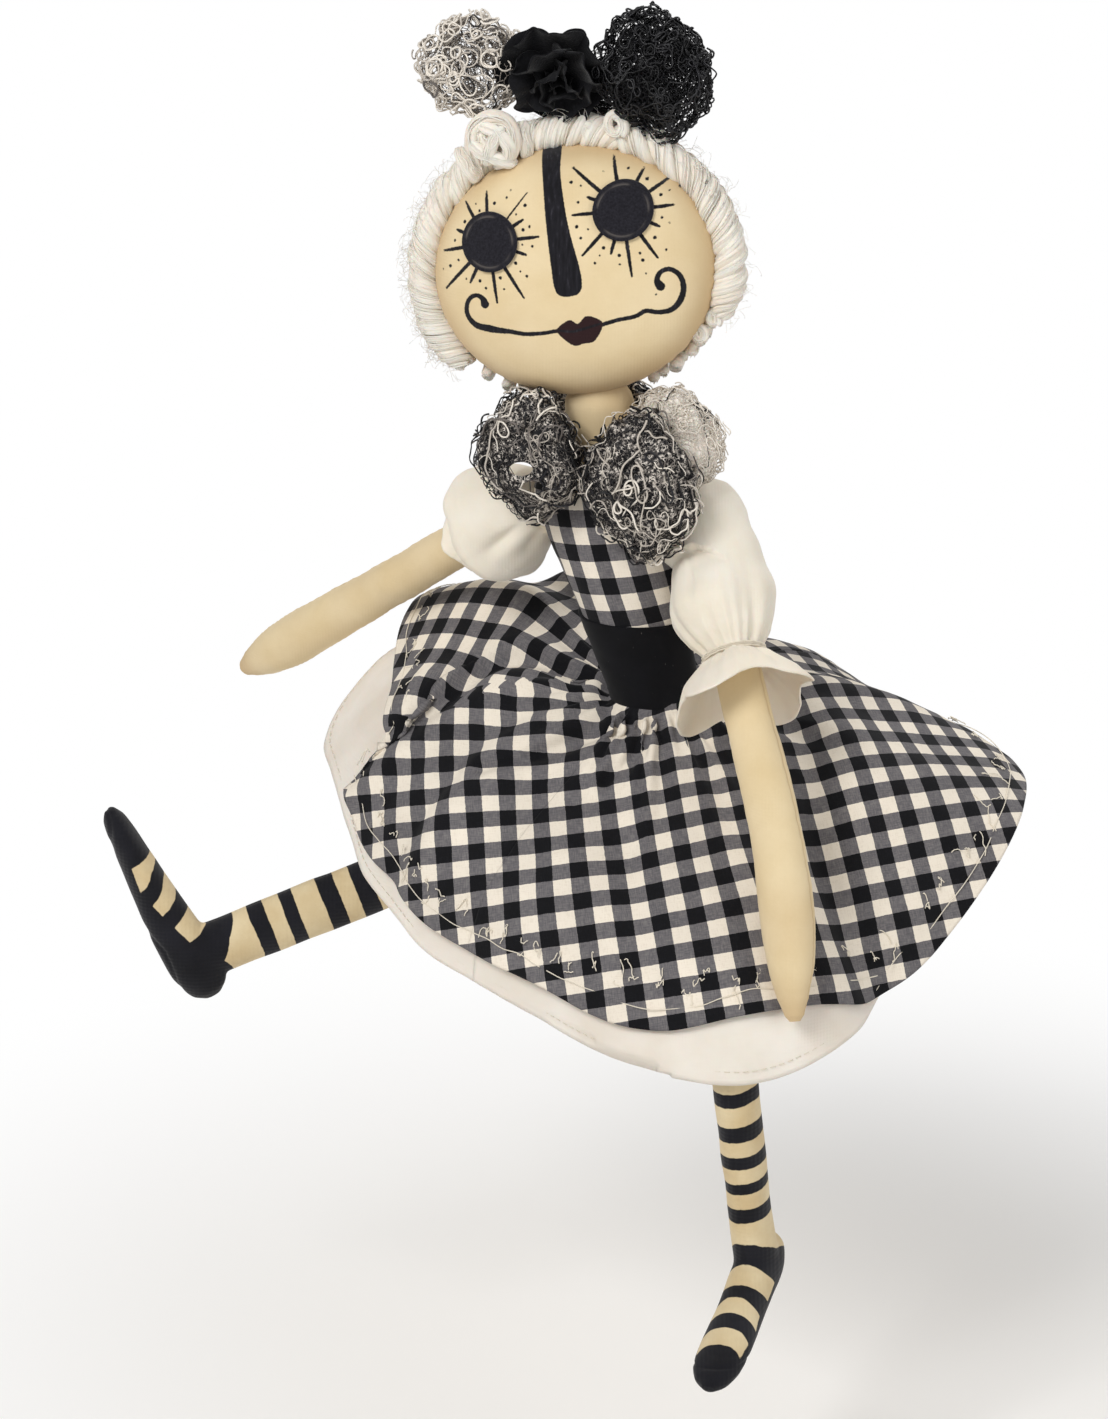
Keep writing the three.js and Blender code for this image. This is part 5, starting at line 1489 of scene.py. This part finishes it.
def wool_piece(name, hanks, loose, wool, node):
    """One piece of hair: hanks are (path, outward, radius), loose are thin locks over them."""
    rng = np.random.default_rng(len(hanks))
    radii, tones, fronts = (list(one) for one in zip(*(hank(*row, rng) for row in hanks)))
    piece = tubes(name, [row[0] for row in hanks], radii, [wool], sides=22, tones=tones, fronts=fronts)
    locks = tubes(name + "_locks", loose, [rng.uniform(0.12, 0.34) for _ in loose], [wool], sides=4,
                  tones=[rng.uniform(0.5, 0.95) for _ in loose])
    declare(join([piece, locks]), "head", [node])


def stray_hairs(starts, outward, rng, length):
    """Fine loose fibres that stand off the wool and curl."""
    paths = []
    for start, out in zip(starts, outward):
        side = unit(np.cross(out, rng.normal(size=3)))
        reach, curl = rng.uniform(0.3, 1) * length, rng.uniform(0.3, 1.5)
        t = np.linspace(0, 1, 9)[:, None]
        paths.append(start + out * reach * 0.5 * np.sin(t * 2.2) + side * reach * (t + 0.2 * np.sin(t * 6.3 * curl)))
    return paths


# Curls on the roll and at the nape, each across and up from the middle of the face, then size, hank and depth
CURLS = (
    (22.7, 50.7, 3.5, 1.9, 8), (12.1, 49.5, 1.9, 1.5, 6.6), (36.8, 44.6, 1.9, 1.5, 6.4), (48.1, -23.5, 2, 1.7, 3),
    (42.3, -28.5, 2, 1.8, 3), (-24.6, -40, 1.9, 1.6, 2), (-21.5, -45, 1.8, 1.6, 2),
)
# The knot over the forehead: radius of each turn of the hank and the places it passes, from the knot's middle
KNOT_MIDDLE = (-22, 50.5)
KNOT = (
    (3.1, ((-7, -9.5, 7), (-8, -2, 10), (-6, 5.5, 12), (0, 8.5, 12.5), (6, 6, 12.5), (7.5, -0.5, 12.5),
           (4, -6.5, 11.5), (-1.5, -9.5, 9.5))),
    (2.5, ((5.5, 5, 14), (2, 1.5, 15.5), (-1, -3, 15.5), (-4, -8, 12))),
    (2.4, ((-4, 6.5, 14), (2.5, 3, 15.5), (6, -3, 14.5), (3, -8.5, 11))),
    (2.6, ((-9, 1, 10.5), (-4, -3.5, 14), (2, -7, 13.5), (7, -9, 9.5))),
    (2.9, ((-4, 4.5, 10.5), (-2.5, 0, 11.8), (-0.5, -4, 11))),
    (2.6, ((-14, -1.5, 6.5), (-12.5, -5, 10.5), (-10.5, -9.5, 10.5), (-8.5, -13.5, 6.5))),
    (2.4, ((11, 5, 5), (10.5, 1, 9), (11, -4, 9), (10, -8, 6))),
)


class DOLL_OT_hair(bpy.types.Operator):
    """Wool hair: a wound roll round the face, hanks over the back of the head, a knot of curls on top."""
    bl_idname = "doll.hair"
    bl_label = "Hair"

    def execute(self, context):
        wool = wool_roving()
        rng = np.random.default_rng(7)
        # The roll: five soft strands round a core, the two halves wound opposite ways from the curl between them
        hanks, loose = [], []
        for start, end, way in ((-28, 72, -1), (60, 218, 1)):
            angle = np.linspace(start, end, 400)
            line, outward = roll_line(angle)
            reach = travelled(line)
            step = 0.9
            distance = np.arange(0, reach[-1], step)
            place, out = (np.stack([np.interp(distance, reach, rows[:, k]) for k in range(3)], axis=-1)
                          for rows in (line, outward))
            size = smooth(0.5 + 0.5 * np.minimum(distance, reach[-1] - distance) / 10)
            hanks.append((place, out, 4.4 * size))
            lead = np.interp(np.interp(distance, reach, angle), (-28, 5, 40, 62, 80, 112, 135, 165, 190, 220),
                             (15, 20, 30, 24, 15, 16, 27, 27, 17, 13))
            strand = 0.64 * lead / 5 * np.cos(np.arctan(lead / 28)) * size
            for k in range(5):
                uneven = value_noise(np.stack([distance / 11, 0 * distance + 3 * k, 0 * distance], axis=-1), 1.0, 3)
                turn = way * 2 * math.pi * (np.cumsum(step / lead) + k / 5) + 0.35 * uneven
                across = np.cos(turn)[:, None] * out + np.sin(turn)[:, None] * HEAD_FRONT
                path = place + across * ((HAIR_ROLL_RADIUS - 0.5 + 0.6 * uneven) * size - strand)[:, None]
                hanks.append((path, across, strand * (1 + 0.12 * uneven)))
                loose += wisps(path, across, strand, rng, 9)
        for x, y, wide, thick, deep in CURLS:
            spin = np.linspace(-1.2, 8.2, 60)
            spread = wide * np.linspace(1, 0.5, 60)
            path = on_head(x + spread * np.cos(spin), y + 1.35 * spread * np.sin(spin), deep + 0.1 * spin)
            hanks.append((path, np.tile(HEAD_FRONT, (60, 1)), thick * np.linspace(1, 0.6, 60)))
            loose += wisps(*hanks[-1], rng, 4)
        wool_piece("wool_roll", hanks, loose, wool, "hair_roll")

        # The back: hanks laid side by side from crown to nape
        hanks, loose = [], []
        wide, tall, deep = (half + BACK_WOOL for half in HEAD_HALF)
        for across in (wide - 0.2) * np.sin(np.radians(np.linspace(-85, 85, 37))):
            top = tall * math.sqrt(1 - (across / wide) ** 2)
            rise = top * np.sin(np.radians(np.linspace(82, -82, 46)))
            x = across + 1.5 * np.sin(rise / 13 + across)
            share = np.minimum(1, np.hypot(x / wide, rise / tall))
            path = on_head(x, rise, -deep * (1 - share ** PILLOW) ** (1 / PILLOW))
            path = path[np.linalg.norm(path - NECK, axis=1) > 21]
            hanks.append((path, unit(path - HEAD_CENTRE), BACK_WOOL))
            loose += wisps(*hanks[-1], rng, 6)
        wool_piece("wool_back", hanks, loose, wool, "hair_cap")

        # The knot: one hank folded over itself
        hanks, loose = [], []
        for thick, places in KNOT:
            curve = Curve([on_head(KNOT_MIDDLE[0] + x, KNOT_MIDDLE[1] + y, deep) for x, y, deep in places])
            path = curve.at(np.linspace(0, curve.length, 70))
            ends = smooth(0.45 + 0.55 * np.minimum(np.linspace(0, 6, 70), np.linspace(6, 0, 70)))
            hanks.append((path, np.tile(HEAD_FRONT, (70, 1)), thick * ends))
            loose += wisps(*hanks[-1], rng, 7)
        wool_piece("wool_knot", hanks, loose, wool, "hair_topknot")

        angle = np.concatenate([rng.uniform(-28, 218, 260), rng.uniform(120, 215, 170)])
        line, outward = roll_line(angle)
        turn = rng.uniform(-0.6, 1.2, len(angle))
        out = np.cos(turn)[:, None] * outward + np.sin(turn)[:, None] * HEAD_FRONT
        piece = tubes("wool_strays", stray_hairs(line + out * 6, out, rng, 8), STRAY_HAIR, [wool], sides=3,
                      tones=[0.8] * len(angle))
        declare(piece, "head", [])
        return {"FINISHED"}


# Lace

def crumpled(directions, size, share, crumple=0.16):
    """Places on a crumpled lump, by directions from its middle."""
    swell = 1 + crumple * value_noise(directions, 0.5, 71) + 0.6 * crumple * value_noise(directions, 0.2, 72)
    return directions * np.asarray(size, float) * (share * swell)[..., None]


def yarns(size, count, length, curl, rng, depth=(0.88, 1.02), rings=False):
    """Yarns that wander and loop over a crumpled lump. Rings keep their bend, and so close on themselves."""
    step = 0.5
    spot = unit(rng.normal(size=(count, 3)))
    heading = unit(np.cross(spot, rng.normal(size=(count, 3))))
    share = rng.uniform(*depth, count)[:, None]
    bend = curl * (rng.uniform(0.7, 1.3, (count, 1)) if rings else rng.normal(size=(count, 1)))
    rows = []
    for _ in range(int(length / step)):
        rows.append(spot)
        if not rings:
            bend = 0.9 * bend + 0.44 * curl * rng.normal(size=(count, 1))
        heading = unit(heading + step * bend * np.cross(spot, heading))
        spot = unit(spot + heading * step / (share * np.mean(size)))
        heading = lean(spot, heading)
    directions = np.stack(rows, axis=1)
    weave = value_noise(directions * np.mean(size) + 40 * np.arange(count)[:, None, None], 2.2, 9)
    return list(crumpled(directions, size, share + 0.035 * weave))


def net(name, centre, axes, size, cells, share, tone, materials, rng):
    """The net ground of lace: many-sided cells over a crumpled lump, of three-sided bars."""
    k = np.arange(cells) + 0.5
    fall, turn = np.arccos(1 - 2 * k / cells), math.pi * (1 + 5 ** 0.5) * k
    spots = np.stack([np.cos(turn) * np.sin(fall), np.sin(turn) * np.sin(fall), np.cos(fall)], axis=-1)
    spots = unit(spots + rng.normal(size=(cells, 3)) * 1.1 / math.sqrt(cells))
    hull = new_piece(name, spots / MM, [], [])
    bpy.ops.object.mode_set(mode="EDIT")
    bpy.ops.mesh.select_all(action="SELECT")
    bpy.ops.mesh.convex_hull(join_triangles=False)
    bpy.ops.object.mode_set(mode="OBJECT")
    corners = np.array([face.vertices[:] for face in hull.data.polygons])
    spots = np.array([vertex.co[:] for vertex in hull.data.vertices])
    bpy.ops.object.delete()
    middles = unit(spots[corners].mean(axis=1))
    edges = np.sort(np.concatenate([corners[:, pair] for pair in ([0, 1], [1, 2], [2, 0])]), axis=1)
    order = np.lexsort(edges.T)
    pairs = np.tile(np.arange(len(corners)), 3)[order].reshape(-1, 2)
    ends = centre + crumpled(middles[pairs], size, np.full(pairs.shape, share)) @ axes
    along = unit(ends[:, 1] - ends[:, 0])
    side = unit(np.cross(along, ODD_WAY))
    other = np.cross(along, side)
    angles = side_angles(3)[:, None, None]
    rims = NET_BAR * (np.cos(angles) * side + np.sin(angles) * other)
    points = (ends.transpose(1, 0, 2)[:, None] + rims[None]).transpose(2, 0, 1, 3).reshape(-1, 3)
    start = np.arange(len(ends))[:, None, None] * 6
    quads = (start + np.array(((0, 1, 4, 3), (1, 2, 5, 4), (2, 0, 3, 5)))).reshape(-1, 4)
    caps = (start + np.array(((0, 2, 1), (3, 4, 5)))).reshape(-1, 3)
    return new_piece(name, points, [*quads, *caps], materials,
                     values={"tone": np.full(len(points), tone)}, uv=np.zeros((len(points), 2)))


def lace_ground_lump(name, centre, axes, size, share, materials, holes=()):
    """The close ground of thick lace, as one crumpled skin; each hole is (middle, half width, half height)."""
    fall, turn = np.meshgrid(np.linspace(0.03, math.pi - 0.03, 70), side_angles(110), indexing="ij")
    spots = np.stack([np.cos(turn) * np.sin(fall), np.cos(fall), np.sin(turn) * np.sin(fall)], axis=-1)
    points, faces = closed_loft(centre + crumpled(spots, size, np.full(spots.shape[:2], share)) @ axes)
    piece = new_piece(name, points, faces, materials, values={"tone": np.zeros(len(points))},
                      uv=np.zeros((len(points), 2)))
    for middle, wide, high in holes:
        # A drill along the viewer's line of sight, longer than the lace is deep
        deselect()
        bpy.ops.mesh.primitive_cylinder_add(vertices=20, radius=1, depth=DRILL_LENGTH * MM, location=middle * MM,
                                            rotation=(math.radians(90 - LOOK_DOWN), 0, 0))
        drill = bpy.context.object
        drill.scale = (wide * MM, high * MM, 1)
        modifier = piece.modifiers.new("hole", "BOOLEAN")
        modifier.object = drill
        bpy.context.view_layer.objects.active = piece
        bpy.ops.object.modifier_apply(modifier=modifier.name)
        bpy.data.objects.remove(drill)
    return piece


def lace_piece(name, body, slot, node, centre, size, seed, materials, layers, tones, shares,
               nets=(), ground=0, holes=()):
    """One gathered piece of lace, built square to its body. layers are (count, length, curl, radius, depth, rings),
    nets are (cells, share, tone)."""
    axes = HEAD_AXES if body == "head" else BODY_AXES
    rng = np.random.default_rng(seed)
    pieces = []
    if ground:
        pieces.append(lace_ground_lump(name, centre, axes, size, ground, [materials[1]], holes))
    for cells, share, tone in nets:
        pieces.append(net(name, centre, axes, size, cells, share, tone, materials[:1], rng))
    paths, radii = [], []
    for count, length, curl, radius, depth, rings in layers:
        for path in yarns(size, int(count * bpy.context.scene.doll.lace_share), length, curl, rng, depth, rings):
            path = centre + path @ axes
            for middle, wide, high in holes:
                away = (path - middle) @ np.array(((1, 0, 0), (0, math.tan(math.radians(LOOK_DOWN)), 1))).T
                room = np.maximum(np.hypot(away[:, 0] / (wide + 0.6), away[:, 1] / (high + 0.6)), 0.02)[:, None]
                push = away * (np.maximum(1, room) / room - 1)
                path = path + push[:, :1] * np.array((1, 0, 0)) + push[:, 1:] * UP
            paths.append(path)
            radii.append(radius * rng.uniform(0.75, 1.25))
    pieces.append(tubes(name, paths, radii, materials[:1], sides=4, taper=False,
                        tones=[rng.choice(tones, p=shares) + rng.uniform(-0.06, 0.06) for _ in paths]))
    declare(join(pieces), body, [node])


def petal(root, out, side, face, length, width, ruffle, rng):
    """A soft petal that opens away from its root, with a waved rim."""
    u, v = np.meshgrid(np.linspace(-1, 1, 33), np.linspace(0.04, 1, 22))
    phase = rng.uniform(0, 6.3)
    wide = width * np.sin(math.pi * (0.1 + 0.56 * v)) * u
    reach = length * v * (1 - 0.2 * u * u + 0.05 * v * np.sin(6 * u + phase))
    lift = ruffle * v ** 2 * np.sin(4.2 * u + phase + 1.5 * v) + ruffle * 0.35 * v ** 2 * np.sin(10 * u + 2 * phase)
    lift = lift + length * 0.3 * (v ** 3 - 0.6 * v * u * u) * rng.uniform(0.2, 1)
    return (root + reach[..., None] * out + wide[..., None] * side + lift[..., None] * face).reshape(-1, 3)


class DOLL_OT_ornaments(bpy.types.Operator):
    """Head ornaments: a crimped black flower between a silvery and a black lace puff, with tulle under them."""
    bl_idname = "doll.ornaments"
    bl_label = "Head ornaments"

    def execute(self, context):
        yarn = context.scene.doll.yarn / MM
        look = [lurex_yarn(), lace_ground()]
        lace_piece("lace_silver_puff", "head", "white_lace", "lace_puff_white", on_head(-27, 78, 2),
                   (20, 19.5, 13), 101, look,
                   ((95, 16, 0.42, yarn * 1.15, (0.88, 1.03), True), (34, 45, 0.38, yarn * 0.9, (0.88, 1.03), False),
                    (40, 14, 0.45, yarn * 0.8, (0.5, 0.8), True)),
                   (1.0, 0.9, 0.78, 0.5, 0.12), (0.4, 0.28, 0.17, 0.08, 0.07), ((520, 0.84, 0.6), (360, 0.6, 0.5)))
        lace_piece("lace_black_puff", "head", "black_lace", "lace_puff_black", on_head(38, 67, 3),
                   (21, 22.5, 14), 102, look,
                   ((90, 60, 0.8, yarn, (0.9, 1.05), False), (50, 50, 0.8, yarn, (0.5, 0.85), False)),
                   (0.02, 0.12, 0.24), (0.5, 0.38, 0.12), ((1500, 0.95, 0.05), (1200, 0.8, 0.05), (400, 0.6, 0.0)))
        lace_piece("tulle", "head", "black_lace", "tulle_bow", on_head(20, 60, -12), (25, 9.5, 6.5), 103, look,
                   ((40, 50, 0.7, yarn * 0.8, (0.8, 1.02), False),), (0.02, 0.12, 0.24), (0.5, 0.4, 0.1),
                   ((900, 0.95, 0.05), (700, 0.75, 0.0)))
        rng = np.random.default_rng(104)
        points, faces = [], []
        facing = unit(HEAD_FRONT - 0.38 * HEAD_UP)
        above = np.cross(facing, HEAD_RIGHT)
        # Rings of petals: how many, their tilt towards the viewer, length, and where the ring starts
        for count, tilt, length, start in ((5, 6, 20, 0.15), (5, 30, 17.5, 0.4), (4, 52, 13, 0.2), (3, 74, 8.5, 0.3)):
            for k in range(count):
                spin = 2 * math.pi * (k + start + rng.uniform(-0.2, 0.2)) / count
                slant = math.radians(tilt + rng.uniform(-8, 8))
                flat = math.cos(spin) * HEAD_RIGHT + math.sin(spin) * above
                out = unit(math.cos(slant) * flat + math.sin(slant) * facing)
                side = unit(np.cross(out, facing))
                face = np.cross(side, out)
                root = on_head(3.5, 70, 5) + flat * 0.2 - facing * (1 - tilt / 90)
                long = length * rng.uniform(0.9, 1.08) * (1 + 0.2 * math.sin(spin))
                one = petal(root, out, side, face, long, length * 0.7, length * 0.12, rng)
                faces.extend(grid_faces(22, 33) + sum(len(p) for p in points))
                points.append(one)
        piece = new_piece("crimped_flower", np.concatenate(points), faces, [crepe()])
        thicken(piece, CREPE_CLOTH)
        declare(piece, "head", ["crepe_flower"])
        return {"FINISHED"}


class DOLL_OT_collar(bpy.types.Operator):
    """The gathered lace collar: two dark silvery lobes, a white and a black piece round the neck."""
    bl_idname = "doll.collar"
    bl_label = "Lace collar"

    def execute(self, context):
        yarn = context.scene.doll.yarn / MM
        look = [lurex_yarn(), lace_ground()]
        dark = ((0.02, 0.2, 0.5, 0.78, 1.0), (0.38, 0.1, 0.12, 0.19, 0.21))
        threads = ((70, 36, 0.6, yarn * 0.55, (0.9, 1.0), False), (24, 30, 0.35, yarn * 1.05, (0.97, 1.05), False),
                   (90, 9, 0.22, yarn * 0.9, (0.95, 1.03), False))
        lace_piece("lace_lobe_right", "body", "silver_lace", "collar_lobe_right", np.array((-79, -16, 198)),
                   (20, 24, 14), 111, look, threads, *dark, ground=0.9,
                   holes=((np.array((-83, -16, 192.4)), 4.4, 2.6), (np.array((-78.9, -16, 185.5)), 3.9, 2.1)))
        lace_piece("lace_lobe_left", "body", "silver_lace", "collar_lobe_left", np.array((-39, -30, 190.5)),
                   (22, 28, 11), 112, look, threads, *dark, ground=0.9)
        lace_piece("lace_white_collar", "body", "white_lace", "collar_white_lace", np.array((-27, -17, 204)),
                   (19.5, 20, 11), 113, [look[0], white_cotton("fleecy_lace", "EFE7DC", "FFFAF2")],
                   ((50, 40, 0.5, yarn * 0.6, (0.85, 1.03), False), (60, 13, 0.5, yarn * 0.7, (0.92, 1.05), True)),
                   (1.0, 0.95, 0.85, 0.1), (0.5, 0.25, 0.15, 0.1), ((1100, 0.95, 0.97),), ground=0.86)
        lace_piece("lace_back_collar", "body", "black_lace", "collar_back_lace", np.array((-48, 16, 206)),
                   (25, 12.5, 10.5), 114, look, threads, *dark, ground=0.88)
        return {"FINISHED"}


class DOLL_OT_stitches(bpy.types.Operator):
    """Hand stitches: zigzag thread round the gingham hem, topstitching round the petticoat's."""
    bl_idname = "doll.stitches"
    bl_label = "Hem stitching"

    def execute(self, context):
        thread = cotton_thread()
        rng = np.random.default_rng(121)
        for side, (low, high, leg, start, end) in SKIRT_HALVES.items():
            hem = []
            azimuth = low + 1
            # One long smooth thread near the hem, and spidery darning above it
            while azimuth < high - 12:
                a = np.linspace(azimuth, azimuth + rng.uniform(18, 32), 60)
                t = 0.945 + 0.015 * value_noise(np.stack([a / 5, 0 * a, 0 * a], axis=-1), 1.0, 12)
                hem.append(skirt_point(a, t) + UP * 0.8)
                azimuth = a[-1] + rng.uniform(-3, 4)
            for azimuth in np.arange(low + 3, high - 5, 4.6):
                azimuth, base = azimuth + rng.uniform(-1, 1), rng.uniform(0.875, 0.91)
                for _ in range(2):
                    count = int(rng.integers(4, 8))
                    corner = np.linspace(0, count - 1, count * 6)
                    a = azimuth + np.interp(corner, np.arange(count), np.cumsum(rng.uniform(-0.5, 1.1, count)))
                    t = base + np.interp(corner, np.arange(count), np.cumsum(rng.uniform(-0.022, 0.022, count)))
                    a, t = (np.convolve(np.pad(one, 2, mode="edge"), np.full(5, 0.2), "valid") for one in (a, t))
                    hem.append(skirt_point(a, t) + UP * (0.7 + 0.3 * np.abs(np.sin(corner * math.pi)))[:, None])
            stitches = [petticoat_point(azimuth + np.array((0, 0.5, 1.0)), np.full(3, 0.972)) + UP * 0.15
                        for azimuth in np.arange(low + 1, high - 1, 1.65)]
            for name, paths, radius, tone in (("hem_thread", hem, HEM_THREAD, 0.95),
                                              ("topstitch", stitches, TOPSTITCH, 0.9)):
                piece = tubes(f"{name}_{side}", paths, radius, [thread], sides=4, tones=[tone] * len(paths),
                              taper=False)
                declare(piece, None, [])
                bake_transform(piece)
        return {"FINISHED"}


PARTS = (DOLL_OT_stage, DOLL_OT_torso, DOLL_OT_head, DOLL_OT_eyes, DOLL_OT_hair, DOLL_OT_ornaments, DOLL_OT_collar,
         DOLL_OT_dress, DOLL_OT_skirts, DOLL_OT_stitches, DOLL_OT_sleeves, DOLL_OT_arms, DOLL_OT_legs)


class DOLL_PT_panel(bpy.types.Panel):
    """Lists the doll's settings and the steps that make it."""
    bl_idname = "DOLL_PT_panel"
    bl_label = "Cloth doll"
    bl_space_type = "VIEW_3D"
    bl_region_type = "UI"
    bl_category = "Doll"

    def draw(self, context):
        for name in ("check", "yarn", "lace_share", "background"):
            self.layout.prop(context.scene.doll, name)
        for part in PARTS:
            self.layout.operator(part.bl_idname)


def register():
    for one in (DollSettings, *PARTS, DOLL_PT_panel):
        bpy.utils.register_class(one)
    bpy.types.Scene.doll = bpy.props.PointerProperty(type=DollSettings)


def unregister():
    del bpy.types.Scene.doll
    for one in reversed((DollSettings, *PARTS, DOLL_PT_panel)):
        bpy.utils.unregister_class(one)


def main():
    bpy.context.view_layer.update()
    register()
    for part in PARTS:
        group, name = part.bl_idname.split(".")
        getattr(getattr(bpy.ops, group), name)()


if __name__ == "__main__":
    main()
